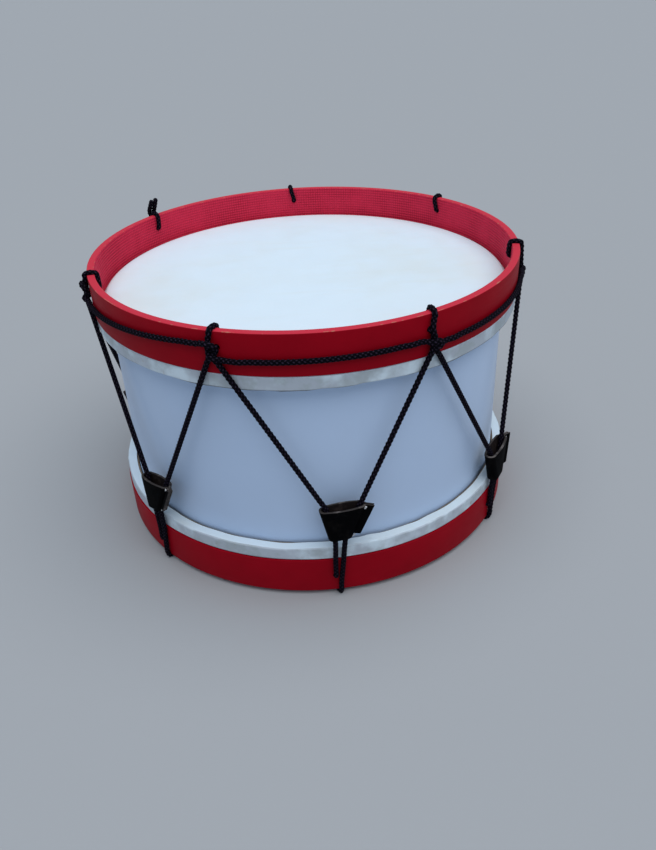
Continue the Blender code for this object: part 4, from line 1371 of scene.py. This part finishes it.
@dataclass
class TiedEnds:
    """The lacing cord's two ends, turned round a strand and left standing."""

    braid: Braid

    def build(self) -> bpy.types.Object:
        """Lay the two ends."""
        way = [
            (-3.0, -4.6, -17.6),
            (-3.8, -1.2, -10.5),
            (-5.2, 3.4, -3.4),
            (-6.0, 5.4, 1.2),
            (-3.4, 7.0, 4.2),
            (0.4, 6.8, 5.8),
            (3.0, 3.6, 7.0),
            (0.6, 1.5, 8.0),
            (-3.6, 1.6, 8.6),
            (-6.6, 3.2, 8.0),
            (-6.0, 6.4, 5.6),
            (-2.6, 8.0, 1.2),
            (-0.4, 6.2, -3.6),
            (0.6, 2.4, -9.6),
            (1.0, -1.4, -16.0),
        ]
        route = smooth_route([spot(TIED_POINT, *step) for step in way])
        line = Line.on(route, self.braid.step)
        LOG.info("The tied ends take %.3f m of cord", line.length)
        obj = self.braid.build("tied_cord_ends", [(line, (True, True))])
        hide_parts("cord_end_knot")
        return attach(obj, DRUM)


@dataclass
class Girdle:
    """The cord round the upper hoop, hitched to each pair of strands."""

    braid: Braid

    def hitch(self, point: int) -> list[Vector]:
        """The girdle's way in front of both strands, then round behind the right one."""
        at = CROSSINGS[point % POINTS]
        drop, rest, knot = at.back - at.front, at.leave - at.cross, at.knot
        way = [
            (-22.0, 2.7, at.arrive),
            (-13.5, 2.7, at.arrive),
            (-8.4 + knot, 3.3, 0.6 * at.arrive + 0.4 * at.front),
            (-4.8 + knot, 5.3, 0.25 * at.arrive + 0.75 * at.front),
            (-0.8 + knot, 6.5, at.front),
            (3.2 + knot, 6.2, at.front + 0.08 * drop),
            (5.4 + knot, 4.6, at.front + 0.3 * drop),
            (5.7 + knot, 2.6, at.front + 0.62 * drop),
            (4.3 + knot, 1.8, at.front + 0.9 * drop),
            (2.0 + knot, 1.7, at.back),
            (-0.3 + knot, 2.8, 0.5 * at.back + 0.5 * at.cross),
            (-0.2 + knot, 5.1, at.cross - 0.4),
            (2.2 + knot, 6.6, at.cross),
            (5.4 + knot, 5.9, at.cross + 0.3 * rest),
            (8.8 + knot, 3.8, at.cross + 0.65 * rest),
            (13.5, 2.7, at.leave),
            (22.0, 2.7, at.leave),
        ]
        return [spot(point, *step) for step in way]

    def build(self) -> bpy.types.Object:
        """Lay the girdle round the hoop."""
        reach = GIRDLE_REACH / OUTER_LAY
        azimuth = upper_azimuth(GIRDLE_LAP_POINT) + GIRDLE_END / OUTER_LAY
        height = RIM - GIRDLE_START_DEPTH
        way = [spot(GIRDLE_LAP_POINT, 6.5, 3.0, 25.5), spot(GIRDLE_LAP_POINT, 11.0, 2.7, 21.6)]
        way.append(place(azimuth, 0, OUTER_LAY - 0.1 * MM, height))
        for point in range(GIRDLE_LAP_POINT + 1, GIRDLE_LAP_POINT + POINTS + 1):
            at = CROSSINGS[point % POINTS]
            arrive, low = upper_azimuth(point) - reach, RIM - at.arrive * MM
            steps = round((arrive - azimuth) * OUTER_LAY / (9 * MM))
            for step in range(1, steps):
                share = step / steps
                level = height + share * (low - height)
                way.append(place(azimuth + share * (arrive - azimuth), 0, OUTER_LAY - 0.1 * MM, level))
            way += self.hitch(point)
            azimuth, height = upper_azimuth(point) + reach, RIM - at.leave * MM
        line = Line.on(smooth_route(way), self.braid.step)
        LOG.info("The girdle cord is %.2f m long", line.length)
        obj = self.braid.build("girdle_braid", [(line, (True, True))])
        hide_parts("girdle_cord")
        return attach(obj, DRUM)


# Tugs


@dataclass
class Tug:
    """A strip of leather folded round two strands and sewn down its right side."""

    leather: bpy.types.Material
    flesh_side: bpy.types.Material
    cut_edge: bpy.types.Material
    thread: bpy.types.Material
    thickness: float = 2.5 * MM
    flange: float = 8.5 * MM
    room: float = 1.4 * MM
    mouth_bulge: float = 5.5 * MM
    base_slope: float = 0.12
    flange_rise: float = 3.2 * MM
    flange_tilt: float = 3.5 * MM
    rows: int = 16
    stitches: int = 7
    stitch_share: float = 0.62
    thread_radius: float = 0.40 * MM

    @property
    def strand_round(self) -> float:
        """How far the leather's middle is from a strand's."""
        return CORD_RADIUS + self.room + self.thickness / 2

    def fold(self, rise: float) -> list[tuple[float, float]]:
        """The leather's middle line at a share of the height.

        Args:
            rise: 0 at the base and 1 at the mouth.

        Returns:
            Sides and depths from the flange's outer end, round in front and back to it.
        """
        (middle, lean, half), around = tug_section(rise), self.strand_round
        bulge = around + rise**1.4 * (self.mouth_bulge + self.thickness / 2 - around)
        layer = self.thickness / 2
        meet = math.asin(min(1.0, layer / around))
        root = half + around * math.cos(meet)
        line = [(root + self.flange * share, -layer) for share in (1, 0.8, 0.6, 0.4, 0.22, 0.1)]
        for step in range(6):
            angle = -meet - (math.pi / 2 - meet) * (step + 0.6) / 6
            line.append((half + around * math.cos(angle), around * math.sin(angle)))
        for step in range(1, 14):
            side = half * (1 - step / 7)
            depth = around + (bulge - around) * (1 - (side / half) ** 2)
            line.append((side, -depth))
        for step in range(15):
            angle = -math.pi / 2 - math.pi * step / 14
            line.append((-half + around * math.cos(angle), around * math.sin(angle)))
        back = [(side, -depth) for side, depth in line[:25]]
        loop = []
        for side, depth in line + back[::-1]:
            tilt = self.flange_tilt * max(0.0, side - root) / self.flange
            loop.append((middle + side, lean + depth - tilt))
        return loop

    def leather_piece(self) -> bpy.types.Object:
        """Fold the leather at an azimuth of 0, its mouth a little curled."""
        columns = len(self.fold(0)) - 1
        deselect_all()
        bpy.ops.mesh.primitive_grid_add(x_subdivisions=columns, y_subdivisions=self.rows, size=1)
        obj = rename(bpy.context.object, "tug_pattern")
        places = vertex_array(obj)
        folds = {}
        for vertex, (x, y, _z) in enumerate(places):
            column, rise = round((x + 0.5) * columns), y + 0.5
            key = round(rise * self.rows)
            if key not in folds:
                folds[key] = self.fold(rise)
            side, depth = folds[key][column]
            curl = 0.14 * MM * math.sin(rise * 3 + column * 0.2) * rise
            is_flange = abs(column - columns / 2) > columns / 2 - 6
            low = self.flange_rise * (1 - rise) if is_flange else 0
            across = min(side - TUG_MOUTH_SIDE, TUG_MOUTH_HALF)
            slope = TUG_MOUTH_SLOPE * across * rise + self.base_slope * across * (1 - rise)
            places[vertex] = (side + curl, -TUG_LAY + depth, rise * TUG_HEIGHT + low + slope)
        move_vertices(obj, places)
        select_vertices(obj, np.ones(len(places), dtype=bool))
        bpy.ops.mesh.flip_normals()
        bpy.ops.object.mode_set(mode="OBJECT")
        wall = obj.modifiers.new("wall", "SOLIDIFY")
        wall.thickness = self.thickness * 0.94
        wall.offset = 0
        wall.material_offset = 1
        wall.material_offset_rim = 2
        edges = obj.modifiers.new("edges", "BEVEL")
        edges.width = 0.35 * MM
        edges.segments = 2
        edges.limit_method = "ANGLE"
        edges.angle_limit = math.radians(50)
        for material in (self.leather, self.flesh_side, self.cut_edge):
            obj.data.materials.append(material)
        apply_modifiers(obj)
        smooth(obj, 50)
        return obj

    def on_seam(self, rise: float, aside: float, out: float) -> Vector:
        """A place by the row of stitches.

        Args:
            rise: The share of the tug's height.
            aside: How far right of the row, in mm.
            out: How far out from the leather's face, in mm.

        Returns:
            The place, with the tug's base on the floor.
        """
        middle, lean, half = tug_section(rise)
        side = middle + half + self.strand_round + self.thickness / 2 + (0.6 - rise + aside) * MM
        height = rise * (TUG_HEIGHT + TUG_MOUTH_SLOPE * TUG_MOUTH_HALF)
        return Vector((side, -TUG_LAY + lean - self.thickness - out * MM, height))

    def thread_routes(self) -> list[list[Vector]]:
        """The thread's stitches on both faces, its knot at the top and its ends at the base."""
        low, high = 0.15, 0.93
        pitch = (high - low) / self.stitches
        routes = []
        for count in range(self.stitches):
            top = high - pitch * count
            shares = ((0, -0.7), (0.12, 0.25), (0.5, 0.4), (0.88, 0.25), (1, -0.7))
            for start, behind in ((0, False), (0.5, True)):
                route = []
                for share, out in shares:
                    rise = top - pitch * (start + share * self.stitch_share)
                    depth = -out - 2 * self.thickness / MM if behind else out
                    route.append(self.on_seam(rise, 0, depth))
                routes.append(route)
        knot = ((0, -1.2, -0.4), (0.04, -1.4, 0.6), (0.03, 0.5, 1.0), (-0.01, 0.6, 0.7), (0, -1.2, 0.8))
        knot += ((0.05, -0.6, 1.3), (0.01, 0.2, 1.5), (-0.02, -0.6, 1.2), (0.03, -1.0, 0.4))
        routes.append([self.on_seam(high + rise, aside, out) for rise, aside, out in knot])
        for aside, drop in ((-1.6, 0.13), (-0.3, 0.10)):
            tail = ((0, 0, -0.4), (0.3, 0.3, 0.5), (0.7, 0.65, 0.6), (1, 1, 0.4))
            routes.append([self.on_seam(low - drop * fall, aside * sway, out) for fall, sway, out in tail])
        return routes

    def build(self) -> list[bpy.types.Object]:
        """Fold one tug, sew it, and copy both to all seven places."""
        pattern = self.leather_piece()
        twist = Braid(
            self.thread,
            diameter=2 * self.thread_radius,
            strands=2,
            lay=1.0 * MM,
            relief=0.08 * MM,
            step=0.25 * MM,
            sides=10,
            dome_rings=3,
        )
        lines = [(Line.on(smooth_route(way, 10), twist.step), (True, True)) for way in self.thread_routes()]
        sewing = twist.build("thread_pattern", lines)
        pieces = []
        for point in range(POINTS):
            tug = point + 1
            turned = (lower_azimuth(point), tug_base(point))
            leather = copy_turned(pattern, f"leather_tug_{tug}", *turned)
            dress(leather, Slot.LEATHER, self.leather, self.flesh_side, self.cut_edge)
            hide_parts(f"tug_{tug}")
            thread = copy_turned(sewing, f"tug_thread_{tug}", *turned)
            dress(thread, Slot.THREAD, self.thread)
            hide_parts(f"tug_stitching_{tug}")
            pieces += [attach(leather, f"tug_{tug}_body"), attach(thread, f"tug_{tug}_body")]
        for obj in (pattern, sewing):
            bpy.data.objects.remove(obj, do_unlink=True)
        return pieces


# Studio


@dataclass(frozen=True)
class Studio:
    """The floor, the light and the camera, which stands where the photograph was taken."""

    eye: Point = (0.0, -0.791, 0.5554)
    yaw: float = math.radians(1.23)
    pitch: float = math.radians(31.90)
    roll: float = math.radians(-2.73)
    focal_pixels: float = 761.8
    image_height: int = 850
    drop_pixels: float = -1.5
    sensor: float = 36.0
    floor_colour: Colour = (0.38, 0.39, 0.405)
    world_colour: Colour = (0.62, 0.80, 1.0)
    world_light: float = 0.40
    key_light: float = 2.2
    key_angle: float = math.radians(75)
    key_from: Point = (0.14, -0.20, 1.0)

    def add_camera(self) -> None:
        """Set the camera up at the photograph's angle."""
        ahead = Vector((math.sin(self.yaw), math.cos(self.yaw), 0))
        right = Vector((math.cos(self.yaw), -math.sin(self.yaw), 0))
        forward = ahead * math.cos(self.pitch) - Vector((0, 0, math.sin(self.pitch)))
        up = ahead * math.sin(self.pitch) + Vector((0, 0, math.cos(self.pitch)))
        across = right * math.cos(self.roll) + up * math.sin(self.roll)
        above = up * math.cos(self.roll) - right * math.sin(self.roll)
        camera = bpy.data.cameras.new("photo_camera")
        camera.sensor_width = self.sensor
        camera.lens = self.focal_pixels * self.sensor / self.image_height
        camera.shift_y = self.drop_pixels / self.image_height
        obj = bpy.data.objects.new("photo_camera", camera)
        axes = Matrix((across, above, -forward)).transposed().to_4x4()
        obj.matrix_world = Matrix.Translation(self.eye) @ axes
        bpy.context.scene.collection.objects.link(obj)
        bpy.context.scene.camera = obj

    def add_floor(self) -> None:
        """Lay the plain pale floor."""
        deselect_all()
        bpy.ops.mesh.primitive_plane_add(size=60)
        floor = rename(bpy.context.object, "studio_floor")
        material = bpy.data.materials.new("studio_floor")
        material.use_nodes = True
        shader = material.node_tree.nodes["Principled BSDF"]
        shader.inputs["Base Color"].default_value = (*self.floor_colour, 1)
        shader.inputs["Roughness"].default_value = 0.9
        shader.inputs["Specular IOR Level"].default_value = 0.1
        floor.data.materials.append(material)

    def add_light(self) -> None:
        """Hang a wide soft key light above and behind, and a plain even fill."""
        world = bpy.data.worlds.new("studio")
        world.use_nodes = True
        background = world.node_tree.nodes["Background"]
        background.inputs["Color"].default_value = (*self.world_colour, 1)
        background.inputs["Strength"].default_value = self.world_light
        bpy.context.scene.world = world
        light = bpy.data.lights.new("key", "SUN")
        light.energy = self.key_light
        light.angle = self.key_angle
        key = bpy.data.objects.new("key", light)
        key.rotation_euler = Vector(self.key_from).to_track_quat("Z", "Y").to_euler()
        bpy.context.scene.collection.objects.link(key)

    def build(self) -> None:
        """Set up the whole studio."""
        self.add_camera()
        self.add_floor()
        self.add_light()
        bpy.context.scene.view_settings.view_transform = "Standard"


def main() -> None:
    """Build the drum in its studio, piece by piece."""
    logging.basicConfig(level=logging.INFO, format="%(message)s")
    Studio().build()
    build_groups()
    paint = {"colour": (0.36, 0.001, 0.010), "roughness": 0.5, "specular": 0.06}
    hide = DrumHide("drum_hide", (0.73, 0.84, 0.92), 0.55, specular=0.25).build()
    braid = Braid(BraidedYarn("braided_cord", (0.0012, 0.0010, 0.0030), 0.7, specular=0.05).build())
    Hoop(End.TOP, PaintedBoard("upper_hoop_paint", **paint)).build()
    LOG.info("The upper hoop is built")
    Hoop(End.BOTTOM, PaintedBoard("lower_hoop_paint", rim_height=HOOP_FOOT, **paint)).build()
    LOG.info("The lower hoop is built")
    for end in End:
        Head(end, hide).build()
        LOG.info("The %s head is built", end.value)
    Shell(
        SatinShell("satin_laminate", (0.565, 0.70, 0.925), 0.34, specular=0.4),
        # Both wood colours are painted darker as shade, since the wood shows only in the gap under the lap's hem.
        PlainWood("bent_wood", (0.25, 0.18, 0.12), 0.7),
    ).build()
    LOG.info("The shell is built")
    for piece in Lacing(braid).build():
        LOG.info("%s is laid", piece.name)
    TiedEnds(braid).build()
    Girdle(braid).build()
    LOG.info("The girdle is laid")
    tugs = Tug(
        TugLeather("dyed_leather", (0.0008, 0.0008, 0.0012), 0.7, specular=0.03).build(),
        TugLeather("flesh_side", (0.012, 0.008, 0.008), 0.9, specular=0.1, worn_colour=(0.045, 0.032, 0.030)).build(),
        TugLeather("cut_edge", (0.045, 0.038, 0.036), 0.8, specular=0.1, worn_colour=(0.19, 0.165, 0.155)).build(),
        WaxedThread("waxed_thread", (0.72, 0.72, 0.74), 0.7).build(),
    )
    for piece in tugs.build():
        LOG.info("%s is in place", piece.name)


if __name__ == "__main__":
    main()
